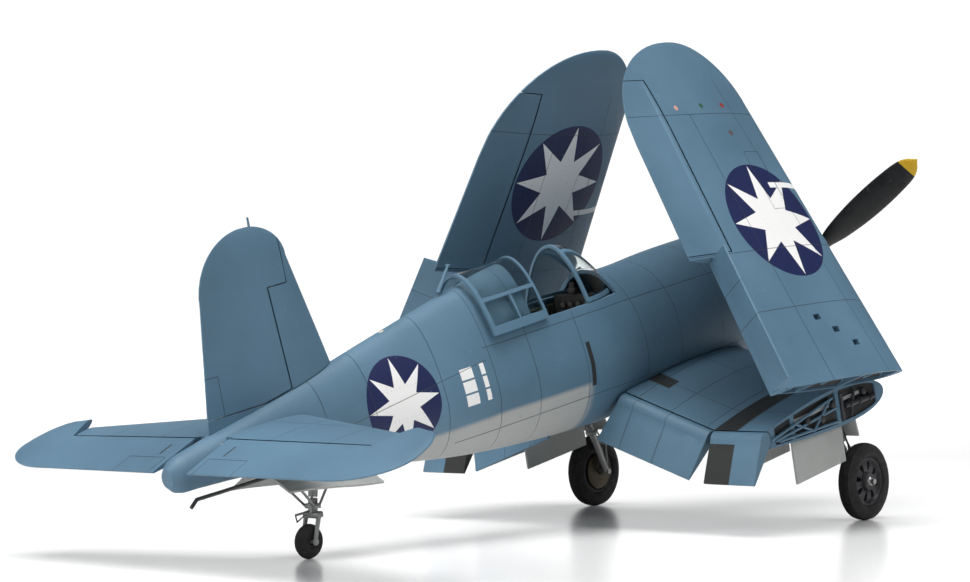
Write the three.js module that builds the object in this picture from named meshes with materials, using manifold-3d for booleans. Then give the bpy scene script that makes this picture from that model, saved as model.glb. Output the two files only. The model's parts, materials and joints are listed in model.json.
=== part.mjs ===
// A 1/32 radio-controlled carrier fighter with an inverted-gull folding wing.
// Everything is drawn in the air frame: x to port, y aft from the propeller hub's tip, z up from the
// thrust line, in millimetres. The last group turns it nose-up, as it stands on its three wheels.
import * as THREE from "three";
import { mergeVertices } from "three/addons/utils/BufferGeometryUtils.js";
import Module from "manifold-3d";

const wasm = await Module();
wasm.setup();

// ---------------------------------------------------------------- driving dimensions
const GAP = 0.35; // clearance between pieces that touch
const SKIN = 1.3; // fuselage wall
const FUSELAGE_FRONT = 59;
const FUSELAGE_END = 317.5;

const PROP_RADIUS = 63.5;
const PROP_PLANE = 10.7;
const BLADES = 3;
const BLADE_SIDES = 8;
const FIRST_BLADE = 56.5; // degrees from straight up, towards starboard
const SHAFT_RADIUS = 1.5;
const COWL_RADIUS = 22.4;
const COWL_FRONT = 18.3;
const COWL_END = 52;
const CYLINDERS = 9;

const FOLD_X = 69; // fold joint, from the centre line
const HALF_SPAN = 195.3;
const DIHEDRAL = 8.5; // of the outer panel, degrees
const PANEL = (HALF_SPAN - FOLD_X) / Math.cos(THREE.MathUtils.degToRad(DIHEDRAL));
const WING_FRONT = 75.5; // leading edge of the centre section
const CHORD = 82.5;
const CHORD_Z = -30.6; // chord line at the fold
const FOLD_RAKE = 119; // folded panel, degrees up from outboard
const FOLD_PITCH = 9; // folded panel, degrees nose-down from the fuselage
const FLAP_DROP = 50;
const ELEVATOR_DROP = 12;

const MAIN_WHEEL = { x: 57.4, y: 77, z: -61.6, radius: 12.7, width: 6.4 };
const TAIL_WHEEL = { y: 271.6, z: -26.4, radius: 4.95, width: 3.2 };

const SILL = 15.3; // cockpit sill height
const CANOPY = { front: 150.4, length: 25.6, travel: 19.8, slope: 0.05, wall: 0.9 };
const TAILPLANE_Z = 9.3;
const TAILPLANE_TIP = 78.5;
const ELEVATOR_HINGE = 300;

// ---------------------------------------------------------------- finishes
const paint = (color, roughness = 0.55, metalness = 0) => ({ color, roughness, metalness });
const BLUE = paint(0x5b7f98);
const PALE_GRAY = paint(0xc9cbc8);
const BLACK = paint(0x17181a, 0.5);
const TYRE = paint(0x232527, 0.85);
const STEEL = paint(0x9a9d9c, 0.35, 0.8);
const INTERIOR = paint(0x2c332c, 0.7);
const GLAZING = paint(0xa9c0c0, 0.12);
const ALLOY = paint(0x777c7d, 0.45, 0.5);

// ---------------------------------------------------------------- solids
const rad = THREE.MathUtils.degToRad;
const vec = (x, y, z) => new THREE.Vector3(x, y, z);

function solidOf(geometry) {
  const bare = geometry.index ? geometry.toNonIndexed() : geometry.clone();
  bare.deleteAttribute("normal");
  bare.deleteAttribute("uv");
  const merged = mergeVertices(bare, 1e-4);
  const triVerts = new Uint32Array(merged.index.array);
  const vertProperties = merged.attributes.position.array;
  return new wasm.Manifold(new wasm.Mesh({ numProp: 3, vertProperties, triVerts }));
}

function geometryOf(solid) {
  const mesh = solid.getMesh();
  const geometry = new THREE.BufferGeometry();
  geometry.setAttribute("position", new THREE.BufferAttribute(mesh.vertProperties, 3));
  geometry.setIndex(new THREE.BufferAttribute(mesh.triVerts, 1));
  return geometry;
}

const joined = (solids) => solids.reduce((whole, next) => whole.add(next));

// A closed body from points and triangles, turned to face out.
function bodyFrom(points, faces) {
  let volume = 0;
  for (let i = 0; i < faces.length; i += 3) {
    const [a, b, c] = [points[faces[i]], points[faces[i + 1]], points[faces[i + 2]]];
    volume += a.dot(b.clone().cross(c));
  }
  if (volume < 0) {
    for (let i = 0; i < faces.length; i += 3) {
      [faces[i + 1], faces[i + 2]] = [faces[i + 2], faces[i + 1]];
    }
  }
  const geometry = new THREE.BufferGeometry().setFromPoints(points);
  geometry.setIndex(faces);
  return solidOf(geometry);
}

// A body through a row of closed rings with equal point counts, capped at both ends.
function loft(rings) {
  const count = rings[0].length;
  const points = rings.flat();
  const faces = [];
  for (let r = 0; r + 1 < rings.length; r++) {
    for (let i = 0; i < count; i++) {
      const a = r * count + i;
      const b = r * count + ((i + 1) % count);
      faces.push(a, b, b + count, a, b + count, a + count);
    }
  }
  [0, rings.length - 1].forEach((r) => {
    const centre = points.length;
    points.push(rings[r].reduce((sum, p) => sum.add(p), vec(0, 0, 0)).divideScalar(count));
    for (let i = 0; i < count; i++) {
      const a = r * count + i;
      const b = r * count + ((i + 1) % count);
      faces.push(...(r ? [a, b, centre] : [b, a, centre]));
    }
  });
  return bodyFrom(points, faces);
}

function box(x, y, z) {
  const geometry = new THREE.BoxGeometry(x[1] - x[0], y[1] - y[0], z[1] - z[0]);
  geometry.translate((x[0] + x[1]) / 2, (y[0] + y[1]) / 2, (z[0] + z[1]) / 2);
  return solidOf(geometry);
}

// A round bar, or a cone, from one point to another.
function bar(from, to, radius, endRadius = radius, sides = 10) {
  const along = to.clone().sub(from);
  const geometry = new THREE.CylinderGeometry(endRadius, radius, along.length(), sides);
  geometry.translate(0, along.length() / 2, 0);
  geometry.applyQuaternion(new THREE.Quaternion().setFromUnitVectors(vec(0, 1, 0), along.normalize()));
  geometry.translate(from.x, from.y, from.z);
  return solidOf(geometry);
}

// A profile of [radius, y] points turned about the y axis.
function turned(profile, sides) {
  const points = profile.map(([radius, y]) => new THREE.Vector2(radius, y));
  const geometry = new THREE.LatheGeometry(points, sides);
  const solid = solidOf(geometry);
  if (solid.volume() > 0) return solid;
  return solidOf(new THREE.LatheGeometry(points.reverse(), sides));
}

// The same body on the other side of the centre line.
function mirrored(solid) {
  const mesh = solid.getMesh();
  const points = [];
  for (let i = 0; i < mesh.vertProperties.length; i += 3) {
    const [x, y, z] = mesh.vertProperties.slice(i, i + 3);
    points.push(vec(-x, y, z));
  }
  return bodyFrom(points, Array.from(mesh.triVerts));
}

// ---------------------------------------------------------------- curves
// Smooth value at y through rows of [y, value, ...], read from one column.
function smoothAt(rows, y, column) {
  let i = 0;
  while (i < rows.length - 2 && y > rows[i + 1][0]) i++;
  const t = THREE.MathUtils.clamp((y - rows[i][0]) / (rows[i + 1][0] - rows[i][0]), 0, 1);
  const slope = (k) => {
    const before = rows[Math.max(k - 1, 0)];
    const after = rows[Math.min(k + 1, rows.length - 1)];
    return (after[column] - before[column]) / (after[0] - before[0]);
  };
  const span = rows[i + 1][0] - rows[i][0];
  const [t2, t3] = [t * t, t * t * t];
  return (
    (2 * t3 - 3 * t2 + 1) * rows[i][column] +
    (t3 - 2 * t2 + t) * span * slope(i) +
    (3 * t2 - 2 * t3) * rows[i + 1][column] +
    (t3 - t2) * span * slope(i + 1)
  );
}

// ---------------------------------------------------------------- fuselage
// Stations: y, top, bottom, half width, height of the widest point, fullness of the upper curve.
const STATIONS = [
  [59, 22.4, -22.5, 22.0, 0, 2],
  [95, 22.5, -24.6, 21.0, -1, 2],
  [125, 21.8, -25.5, 19.2, -2.5, 1.9],
  [136, 24.0, -25.4, 18.6, -2.5, 1.5],
  [150, 33.4, -25.0, 17.5, -2.5, 1.25],
  [176, 33.6, -23.0, 15.6, -2, 1.25],
  [205, 29.1, -19.5, 13.4, -1, 1.3],
  [230, 24.7, -14.9, 11.0, 1, 1.4],
  [250, 21.1, -10.6, 9.2, 3, 1.6],
  [270, 17.5, -5.8, 7.6, 4.5, 1.8],
  [290, 13.9, -2.2, 6.1, 5, 2],
  [308, 10.7, -0.6, 4.8, 4.8, 2],
  [315, 9.3, 0.0, 4.0, 4.6, 2],
  [FUSELAGE_END, 7.2, 2.0, 2.2, 4.5, 2],
];

// One cross-section, grown outwards by an offset.
function fuselageRing(y, offset, count) {
  const [top, bottom, half, wide, full] = [1, 2, 3, 4, 5].map((c) => smoothAt(STATIONS, y, c));
  const ring = [];
  for (let i = 0; i < count; i++) {
    const angle = (2 * Math.PI * i) / count;
    const up = Math.cos(angle);
    const height = up > 0 ? top - wide + offset : wide - bottom + offset;
    const across = Math.sqrt(Math.max(0, 1 - Math.abs(up) ** (up > 0 ? full : 2.2)));
    ring.push(vec(Math.sign(Math.sin(angle)) * across * (half + offset), y, wide + up * height));
  }
  return ring;
}

function fuselageBody(from, to, steps, offset, count = 20) {
  const rings = [];
  for (let i = 0; i <= steps; i++) {
    rings.push(fuselageRing(from + ((to - from) * i) / steps, offset, count));
  }
  return loft(rings);
}

const COCKPIT = { front: 134.3, back: 175.8 };

// ---------------------------------------------------------------- airfoils
// A closed ring of points around an airfoil in a plane given by its chord and thickness directions.
function airfoil(nose, chord, thickness, camber, chordWay, upWay, half = 9) {
  const ring = [];
  for (let i = -half; i <= half; i++) {
    const u = (1 - Math.cos((Math.PI * Math.abs(i)) / half)) / 2;
    const bulk = 0.2969 * Math.sqrt(u) - 0.126 * u - 0.3516 * u * u + 0.2843 * u ** 3 - 0.1015 * u ** 4;
    const side = Math.sign(i) * (5 * thickness * bulk * chord + 0.18 * u);
    const lift = 4 * camber * u * (1 - u) * chord;
    ring.push(nose.clone().addScaledVector(chordWay, u * chord).addScaledVector(upWay, side + lift));
  }
  return ring;
}

const AFT = vec(0, 1, 0);
const UP = vec(0, 0, 1);
const OUT = vec(1, 0, 0);

// Middle height and half thickness of an airfoil at a distance behind its nose.
function coreAt(chord, thickness, camber, distance) {
  const u = distance / chord;
  const bulk = 0.2969 * Math.sqrt(u) - 0.126 * u - 0.3516 * u * u + 0.2843 * u ** 3 - 0.1015 * u ** 4;
  return { middle: 4 * camber * u * (1 - u) * chord, half: 5 * thickness * bulk * chord + 0.18 * u + 0.06 };
}

// Reads a value at a distance through rows of [distance, value], and past the ends along the end slopes.
function straightAt(rows, distance) {
  let i = 0;
  while (i < rows.length - 2 && distance > rows[i + 1][0]) i++;
  const [[a, from], [b, to]] = [rows[i], rows[i + 1]];
  return from + ((to - from) * (distance - a)) / (b - a);
}

// Splits a surface at a hinge line into its fixed part and its moving part, with a round nose on the
// moving part, whose radius runs through rows of [distance along the hinge, radius]. The notch in the
// fixed part and the moving part each run between two planes across the hinge, given as distances.
function splitAtHinge(surface, hinge) {
  const { from, to, radii, aft, thick, notch, keep } = hinge;
  const along = to.clone().sub(from).normalize();
  const at = (s) => from.clone().addScaledVector(along, s);
  const cone = (a, b, grow) => {
    return bar(at(a), at(b), straightAt(radii, a) + grow, straightAt(radii, b) + grow, NOSE_SIDES);
  };
  const nose = (grow, a, b) => {
    const stops = [a, ...radii.map(([s]) => s).filter((s) => s > a && s < b), b];
    return joined(stops.slice(1).map((end, i) => cone(stops[i], end, grow)));
  };
  const slab = (front, a, b) => {
    const ring = (s) =>
      [[0, -1], [1, -1], [1, 1], [0, 1]].map(([back, side]) =>
        at(s)
          .addScaledVector(aft, front + back * 90)
          .addScaledVector(thick, side * 12),
      );
    return loft([ring(a), ring(b)]);
  };
  const fixed = surface.subtract(slab(0, ...notch)).subtract(nose(GAP, ...notch));
  const moving = surface.intersect(slab(0, ...keep)).add(nose(0, ...keep));
  return [fixed, moving];
}

// ---------------------------------------------------------------- centre section of the wing
// Stations: x, chord-line height, thickness.
const GULL = [
  [6, -15.4, 0.165],
  [17, -19.3, 0.165],
  [40, -27.6, 0.155],
  [48, -30.25, 0.15],
  [53, CHORD_Z, 0.15],
  [61, CHORD_Z, 0.15],
  [FOLD_X, CHORD_Z, 0.15],
];
const HINGE_AFT = 68; // flap hinge, behind the leading edge
const CAMBER = 0.012;
const NOSE_SIDES = 14; // of the round nose on each hinged surface
const gullCore = (x) => coreAt(CHORD, smoothAt(GULL, x, 2), CAMBER, HINGE_AFT);
const flapHinge = (x) => vec(x, WING_FRONT + HINGE_AFT, smoothAt(GULL, x, 1) + gullCore(x).middle);

function gullWing() {
  const stops = [6, 17, 28, 40, 45, 49, 53, 58, FOLD_X - GAP];
  const rings = stops.map((x) => {
    const nose = vec(x, WING_FRONT, smoothAt(GULL, x, 1));
    return airfoil(nose, CHORD, smoothAt(GULL, x, 2), CAMBER, AFT, UP, 9);
  });
  return loft(rings);
}

const BAY = { inner: 42, outer: 67.8, front: 88, back: 129, top: -27.4 };

const INBOARD_FLAP = [13.2, 48];
const MIDDLE_FLAP = [49.5, FOLD_X - GAP];

function innerWing() {
  const hingeOf = ([a, b]) => {
    const [from, to] = [flapHinge(a), flapHinge(b)];
    const radii = [[0, gullCore(a).half + 0.1], [from.distanceTo(to), gullCore(b).half + 0.1]];
    return { from, to, radii, aft: AFT };
  };
  const inboard = hingeOf(INBOARD_FLAP);
  const middle = hingeOf(MIDDLE_FLAP);
  const thick = inboard.to.clone().sub(inboard.from).normalize().cross(AFT);
  const length = inboard.to.distanceTo(inboard.from);
  const width = middle.to.distanceTo(middle.from);
  let wing = gullWing();
  let inboardFlap;
  let middleFlap;
  [wing, inboardFlap] = splitAtHinge(wing, { ...inboard, thick, notch: [-4, length], keep: [0, length] });
  [wing, middleFlap] = splitAtHinge(wing, { ...middle, thick: UP, notch: [0, width + 5], keep: [GAP, width] });
  const webs = box([46, 51.2], [WING_FRONT + HINGE_AFT - 0.5, 200], [-60, 0]);
  const wheelBay = box([BAY.inner, BAY.outer], [BAY.front, BAY.back], [-60, BAY.top]);
  const legSlot = box([48.4, 61], [79.5, BAY.front + 1], [-60, BAY.top]);
  const mouth = loft(
    [21.5, 36].map((x) => {
      const z = smoothAt(GULL, x, 1);
      return [vec(x, 60, z - 2.4), vec(x, 84, z - 2.4), vec(x, 84, z + 3), vec(x, 60, z + 3)];
    }),
  );
  const body = fuselageBody(60, 200, 14, GAP + 0.15);
  const spar = bar(vec(0, 100, -19.5), vec(24, 100, -19.5), SHAFT_RADIUS + GAP);
  wing = wing.subtract(webs).subtract(wheelBay).subtract(legSlot).subtract(mouth);
  wing = wing.subtract(body).subtract(spar);
  return { wing, inboardFlap: inboardFlap.subtract(fuselageBody(60, 200, 14, 1.2)), middleFlap };
}

// ---------------------------------------------------------------- outer panel
const PANEL_WAY = vec(Math.cos(rad(DIHEDRAL)), 0, Math.sin(rad(DIHEDRAL)));
const PANEL_UP = vec(-Math.sin(rad(DIHEDRAL)), 0, Math.cos(rad(DIHEDRAL)));
const panelPoint = (s, c, n = 0) =>
  vec(FOLD_X, WING_FRONT, CHORD_Z)
    .addScaledVector(PANEL_WAY, s)
    .addScaledVector(AFT, c)
    .addScaledVector(PANEL_UP, n);

const TIP = { frontStart: 102, backStart: 87, apex: 31 };

// Chordwise place of the panel's leading and trailing edges, s along the span.
function panelEdges(s) {
  const curve = (start) => Math.sqrt(Math.max(0, 1 - (Math.max(0, s - start) / (PANEL - start)) ** 2));
  const front = (7.5 * s) / 90;
  const back = CHORD - (6 * s) / 90;
  const noseStart = (7.5 * TIP.frontStart) / 90;
  const tailStart = CHORD - (6 * TIP.backStart) / 90;
  return [
    s > TIP.frontStart ? TIP.apex - (TIP.apex - noseStart) * curve(TIP.frontStart) : front,
    s > TIP.backStart ? TIP.apex + (tailStart - TIP.apex) * curve(TIP.backStart) : back,
  ];
}

const panelThickness = (s) => 0.15 - (0.055 * s) / PANEL;
const OUTER_FLAP = [GAP, 46.5];
const AILERON = [47.5, 112];

// The hinge line between two stations of the panel, each given as [s, chordwise place]. The nose follows
// the panel's thickness, which falls off faster near the tip.
function panelHinge([s0, c0], [s1, c1]) {
  const core = (s, c) => {
    const [front, back] = panelEdges(s);
    return coreAt(back - front, panelThickness(s), CAMBER, c - front);
  };
  const [m0, m1] = [core(s0, c0).middle, core(s1, c1).middle];
  const [from, to] = [panelPoint(s0, c0, m0), panelPoint(s1, c1, m1)];
  const length = from.distanceTo(to);
  const radii = [0, 0.3, 0.6, 0.8, 1].map((t) => {
    const { middle, half } = core(s0 + (s1 - s0) * t, c0 + (c1 - c0) * t);
    return [length * t, half + Math.abs(middle - m0 - (m1 - m0) * t)];
  });
  return { line: { from, to, radii, aft: AFT, thick: PANEL_UP }, length };
}

function outerWing() {
  const stops = [GAP, 47, 87, 96, 104, 111, 117, 121.5, 124.6, 126.4, PANEL - 0.1];
  const upright = UP.clone().divideScalar(PANEL_UP.z); // keeps the root face parallel to the inner wing's
  const rings = stops.map((s) => {
    const [front, back] = panelEdges(s);
    const up = s > GAP ? PANEL_UP : upright;
    return airfoil(panelPoint(s, front), back - front, panelThickness(s), CAMBER, AFT, up, 8);
  });
  let panel = loft(rings);
  const flapHinge = panelHinge([OUTER_FLAP[0], HINGE_AFT], [OUTER_FLAP[1], HINGE_AFT - 2]);
  const aileronHinge = panelHinge([AILERON[0], 60.5], [AILERON[1], 58.5]);
  let flap;
  let aileron;
  [panel, flap] = splitAtHinge(panel, {
    ...flapHinge.line,
    notch: [-5, flapHinge.length],
    keep: [0, flapHinge.length - GAP],
  });
  [panel, aileron] = splitAtHinge(panel, {
    ...aileronHinge.line,
    notch: [0, aileronHinge.length],
    keep: [GAP, aileronHinge.length - GAP],
  });
  return { panel, flap, aileron, flapHinge: flapHinge.line };
}

// ---------------------------------------------------------------- tail
// Fore and aft edges of the fin and rudder at a height: straight, then a quarter of an ellipse.
const quarter = (z, start, height) => Math.sqrt(1 - ((z - start) / height) ** 2);
const finFront = (z) => (z < 54 ? 251.6 + (z - 20) * 0.3 : 276 - 14.2 * quarter(z, 54, 10.6));
const finBack = (z) => (z < 46 ? 300.8 - (z - 12.4) * 0.145 : 276 + 19.9 * quarter(z, 46, 18.6));
const RUDDER_HINGE = { from: vec(0, 270.4, 12), to: vec(0, 273.4, 61) };
const FIN_THICKNESS = 0.085;
const HORN = { front: 264.6, foot: 47 }; // balance horn at the top of the rudder
const RUDDER_FOOT = 16; // height of the rudder's lower edge
const ELEVATOR_HORN = { root: 60, front: 284, slant: 8 }; // balance horn at each elevator's tip

function verticalTail() {
  const stops = [6, 20, 36, 46, 54, 58, 61, 63, 64.2, 64.5];
  const across = vec(1, 0, 0);
  const rings = stops.map((z) => {
    const front = finFront(z);
    const chord = finBack(z) - front;
    return airfoil(vec(0, front, z), chord, FIN_THICKNESS, 0, AFT, across, 7);
  });
  const tail = loft(rings);
  const along = RUDDER_HINGE.to.clone().sub(RUDDER_HINGE.from);
  const half = ({ y, z }) => {
    return coreAt(finBack(z) - finFront(z), FIN_THICKNESS, 0, y - finFront(z)).half;
  };
  const radii = [[0, half(RUDDER_HINGE.from)], [along.length(), half(RUDDER_HINGE.to)]];
  const line = { ...RUDDER_HINGE, radii, aft: AFT, thick: across };
  const ends = [-6, along.length()];
  let [fin, rudder] = splitAtHinge(tail, { ...line, notch: ends, keep: ends });
  const horn = (gap) => box([-9, 9], [HORN.front - gap, 300], [HORN.foot - gap, 70]);
  rudder = rudder.add(tail.intersect(horn(0)));
  fin = fin.subtract(horn(GAP));
  const cone = fuselageBody(240, FUSELAGE_END, 12, GAP);
  const fillet = tail.intersect(box([-9, 9], [276, 310], [8, RUDDER_FOOT - GAP]));
  rudder = rudder.subtract(fuselageBody(240, FUSELAGE_END, 12, 0.7));
  rudder = rudder.subtract(box([-9, 9], [240, 330], [-10, RUDDER_FOOT]));
  return { fin: fin.subtract(cone), rudder, fillet };
}

function tailplaneEdges(x) {
  const curve = (start) => Math.sqrt(Math.max(0, 1 - (Math.max(0, x - start) / (TAILPLANE_TIP - start)) ** 2));
  const apex = 303;
  const front = (at) => 268.5 + (at - 4) * 0.3;
  const back = 316.6;
  return [
    x > 70 ? apex - (apex - front(70)) * curve(70) : front(x),
    x > 58 ? apex + (back - apex) * curve(58) : back,
  ];
}

const tailplaneThickness = (x) => 0.095 - 0.0003 * x;

// The room outboard of a slanted line, where the elevator takes the whole tip.
function tipRoom(gap) {
  const { root, front, slant } = ELEVATOR_HORN;
  const inner = root - gap * Math.hypot(1, slant / (ELEVATOR_HINGE - front));
  const outline = [[inner, ELEVATOR_HINGE], [inner + slant, front], [90, front], [90, 330], [inner, 330]];
  return loft([0, 20].map((z) => outline.map(([x, y]) => vec(x, y, z))));
}

function tailplane() {
  const stops = [2, 20, 40, 58, 64, 70, 74, 76.6, 78, TAILPLANE_TIP - 0.05];
  const rings = stops.map((x) => {
    const [front, back] = tailplaneEdges(x);
    return airfoil(vec(x, front, TAILPLANE_Z), back - front, tailplaneThickness(x), 0, AFT, UP, 7);
  });
  const from = vec(6.4, ELEVATOR_HINGE, TAILPLANE_Z);
  const to = vec(ELEVATOR_HORN.root, ELEVATOR_HINGE, TAILPLANE_Z);
  const length = to.distanceTo(from);
  const half = (x) => {
    const [front, back] = tailplaneEdges(x);
    return coreAt(back - front, tailplaneThickness(x), 0, ELEVATOR_HINGE - front).half;
  };
  const radii = [[0, half(from.x)], [length, half(to.x)]];
  const span = { notch: [0, length + 1], keep: [GAP, length + 1] };
  const surface = loft(rings);
  let [stabilizer, elevator] = splitAtHinge(surface, { from, to, radii, aft: AFT, thick: UP, ...span });
  elevator = elevator.add(surface.intersect(tipRoom(0)));
  stabilizer = stabilizer.subtract(tipRoom(GAP));
  const cone = (gap) => fuselageBody(240, FUSELAGE_END, 12, gap);
  stabilizer = stabilizer.subtract(box([-1, 6.9], [ELEVATOR_HINGE - 2, 330], [0, 20])).subtract(cone(GAP));
  elevator = elevator.subtract(cone(0.9));
  const socket = bar(vec(5, ELEVATOR_HINGE, TAILPLANE_Z), vec(12, ELEVATOR_HINGE, TAILPLANE_Z), 1.05);
  return { stabilizer, elevator: elevator.subtract(socket) };
}

// ---------------------------------------------------------------- placing pieces
const plane = new THREE.Group();

function piece(name, solid, finish, parent = plane) {
  const geometry = geometryOf(solid).toNonIndexed();
  geometry.computeVertexNormals();
  const mesh = new THREE.Mesh(geometry, new THREE.MeshStandardMaterial(finish));
  mesh.name = name;
  parent.add(mesh);
  return mesh;
}

// Turns a mesh or a group about a line in its parent's frame.
function turnAbout(object, point, axis, degrees) {
  object.quaternion.setFromAxisAngle(axis.clone().normalize(), rad(degrees));
  object.position.copy(point).sub(point.clone().applyQuaternion(object.quaternion));
}

const SIDES = [
  ["port", 1],
  ["starboard", -1],
];
const sided = (solid, side) => (side > 0 ? solid : mirrored(solid));
const flipX = (v, side) => vec(v.x * side, v.y, v.z);

// ---------------------------------------------------------------- nose
function addNose() {
  const blade = loft(
    [
      [3, 3.2, 2.6, 60],
      [10, 4.4, 2.4, 55],
      [20, 8.6, 1.9, 44],
      [36, 10.6, 1.4, 33],
      [54, 9.2, 1, 25],
      [61, 6, 0.7, 22],
      [PROP_RADIUS, 1.6, 0.5, 21],
    ].map(([radius, chord, thick, pitch]) => {
      const ring = [];
      for (let i = 0; i < BLADE_SIDES; i++) {
        const angle = (2 * Math.PI * i) / BLADE_SIDES;
        const [c, t] = [(Math.cos(angle) * chord) / 2, (Math.sin(angle) * thick) / 2];
        const [cp, sp] = [Math.cos(rad(pitch)), Math.sin(rad(pitch))];
        ring.push(vec(c * cp - t * sp, PROP_PLANE + c * sp + t * cp, radius));
      }
      return ring;
    }),
  );
  const blades = [];
  for (let i = 0; i < BLADES; i++) {
    const geometry = geometryOf(blade);
    geometry.rotateY(-rad(FIRST_BLADE - (360 * i) / BLADES));
    blades.push(solidOf(geometry));
  }
  const boreRadius = SHAFT_RADIUS + GAP;
  const hub = turned(
    [[boreRadius, 7], [4.4, 7], [5, 8.2], [5, 13.2], [4, 14.8], [boreRadius, 14.8], [boreRadius, 7]],
    20,
  );
  const bore = bar(vec(0, 5, 0), vec(0, 17, 0), boreRadius, boreRadius, 20);
  piece("propeller", joined([hub, ...blades]).subtract(bore), BLACK);
  const dome = turned([[0, 0], [1.6, 0.3], [2.9, 1.6], [3.5, 4], [3.7, 6.65], [0, 6.65]], 20);
  piece("propeller_hub_dome", dome, STEEL);
  piece("propeller_shaft", bar(vec(0, 7, 0), vec(0, 43, 0), SHAFT_RADIUS), STEEL);

  const cowl = turned(
    [[COWL_RADIUS, COWL_END], [COWL_RADIUS, 34], [22.1, 28], [21.2, 23], [19.8, 19.6], [18.2, COWL_FRONT],
      [17, 19], [16.6, 21], [18.4, 27], [20.6, 34], [21.2, COWL_END], [COWL_RADIUS, COWL_END]],
    28,
  );
  piece("engine_cowl", cowl, BLUE);
  const flaps = turned([[COWL_RADIUS, COWL_END + GAP], [23, 58.5], [22.2, 58.5], [21.3, COWL_END + GAP],
    [COWL_RADIUS, COWL_END + GAP]], 28);
  piece("cowl_flap_ring", flaps, BLUE);

  const bank = [turned([[0, 17.2], [3.4, 17.2], [5.6, 20], [6.6, 24], [6.6, 38], [0, 38]], 16)];
  for (let i = 0; i < CYLINDERS; i++) {
    const angle = (2 * Math.PI * i) / CYLINDERS;
    const at = (r, y) => vec(Math.sin(angle) * r, y, Math.cos(angle) * r);
    bank.push(bar(at(5, 28), at(15.8, 28), 3.3, 3.3, 8));
  }
  const shaftBore = bar(vec(0, 10, 0), vec(0, 42, 0), SHAFT_RADIUS + GAP);
  piece("dummy_engine", joined(bank).subtract(shaftBore), ALLOY);
  const motorBore = bar(vec(0, 36, 0), vec(0, 43.4, 0), SHAFT_RADIUS + GAP);
  piece("motor", bar(vec(0, 38.4, 0), vec(0, 58.4, 0), 9, 9, 20).subtract(motorBore), STEEL);
  const firewall = fuselageBody(FUSELAGE_FRONT + 0.6, FUSELAGE_FRONT + 2.2, 1, -SKIN - 1, 14);
  piece("firewall", firewall, INTERIOR);
}

// ---------------------------------------------------------------- fuselage and cockpit
function addFuselage() {
  const shell = fuselageBody(FUSELAGE_FRONT, FUSELAGE_END, 24, 0, 20)
    .subtract(fuselageBody(FUSELAGE_FRONT - 1, 292, 12, -SKIN, 14))
    .add(verticalTail().fillet)
    .subtract(box([-30, 30], [COCKPIT.front, COCKPIT.back], [SILL, 60]))
    .subtract(box([-4.6, 4.6], [251, 280], [-20, -1]))
    .subtract(bar(vec(-30, 100, -19.5), vec(30, 100, -19.5), SHAFT_RADIUS + GAP))
    .subtract(bar(vec(-20, ELEVATOR_HINGE, TAILPLANE_Z), vec(20, ELEVATOR_HINGE, TAILPLANE_Z), 1.3));
  for (const [name, side] of SIDES) {
    const half = side > 0 ? [GAP / 2, 40] : [-40, -GAP / 2];
    piece(`fuselage_${name}_half`, shell.intersect(box(half, [0, 400], [-60, 60])), BLUE);
  }
  piece("wing_spar", bar(vec(-23.5, 100, -19.5), vec(23.5, 100, -19.5), SHAFT_RADIUS), BLACK);
  piece("battery", box([-7, 7], [64, 94], [-14, -4]), STEEL);
  piece("receiver_board", box([-9, 9], [66, 92], [0, 3]), INTERIOR);
  for (const [name, side] of [["elevator_servo", 1], ["rudder_servo", -1]]) {
    const [near, far] = [2 * side, 9 * side];
    piece(name, box([Math.min(near, far), Math.max(near, far)], [182, 198], [-8, 0]), BLACK);
  }
}

function addCockpit() {
  const tub = box([-11, 11], [138, 174.6], [-8, 13.6]).subtract(box([-9.8, 9.8], [139.2, 173.4], [-6.6, 20]));
  piece("cockpit_tub", tub, INTERIOR);
  const seat = box([-5.6, 5.6], [160, 170.5], [-4.5, 12]).subtract(box([-4.8, 4.8], [158, 168.6], [-0.5, 14]));
  piece("pilot_seat", seat.add(box([-3, 3], [162, 168], [-6.25, -4])), ALLOY);
  const bulkhead = fuselageBody(176.2, 177.4, 1, -SKIN - 1, 14);
  const headrest = box([-3, 3], [174.9, 177], [15.4, 21]);
  const cutout = box([-20, 20], [170, 180], [-30, -8.5]);
  piece("headrest_bulkhead", bulkhead.subtract(cutout).add(headrest), INTERIOR);
  const panelShape = new THREE.Shape();
  panelShape.moveTo(-9, 0);
  panelShape.lineTo(9, 0);
  panelShape.lineTo(9, 8);
  panelShape.absellipse(0, 8, 9, 6.5, 0, Math.PI, false);
  panelShape.lineTo(-9, 0);
  const panel = new THREE.ExtrudeGeometry(panelShape, { depth: 1, bevelEnabled: false, curveSegments: 12 });
  panel.rotateX(Math.PI / 2);
  panel.translate(0, 141, 3);
  piece("instrument_panel", solidOf(panel), BLACK);
  const grip = solidOf(new THREE.SphereGeometry(1.1, 6, 4).translate(0, 151, 3.4));
  piece("control_stick", bar(vec(0, 154, -6.2), vec(0, 151, 3.2), 0.6, 0.6, 6).add(grip), BLACK);
  piece("antenna_mast", bar(vec(0, 203.2, 30.4), vec(0, 196.6, 38), 0.95, 0.55, 8), BLUE);
}

// Hooped section over the cockpit: x half width, top, grown outwards by an offset.
function hoop(y, half, top, offset, count = 20) {
  const ring = [];
  const base = -2;
  for (let i = 0; i < count; i++) {
    const angle = (2 * Math.PI * i) / count;
    const up = Math.cos(angle);
    const height = up > 0 ? top - base + offset : 10;
    const across = Math.sqrt(Math.max(0, 1 - Math.abs(up) ** (up > 0 ? 1.25 : 2)));
    ring.push(vec(Math.sign(Math.sin(angle)) * across * (half + offset), y, base + up * height));
  }
  return ring;
}

// Windscreen stations: y, half width, top.
const SCREEN = [
  [127, 8, 20.5],
  [131, 12.8, 23.2],
  [137, 15.4, 28.6],
  [143, 16.6, 33],
  [147, 17, 34.3],
  [150.2, 17.1, 34.5],
];

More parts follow.
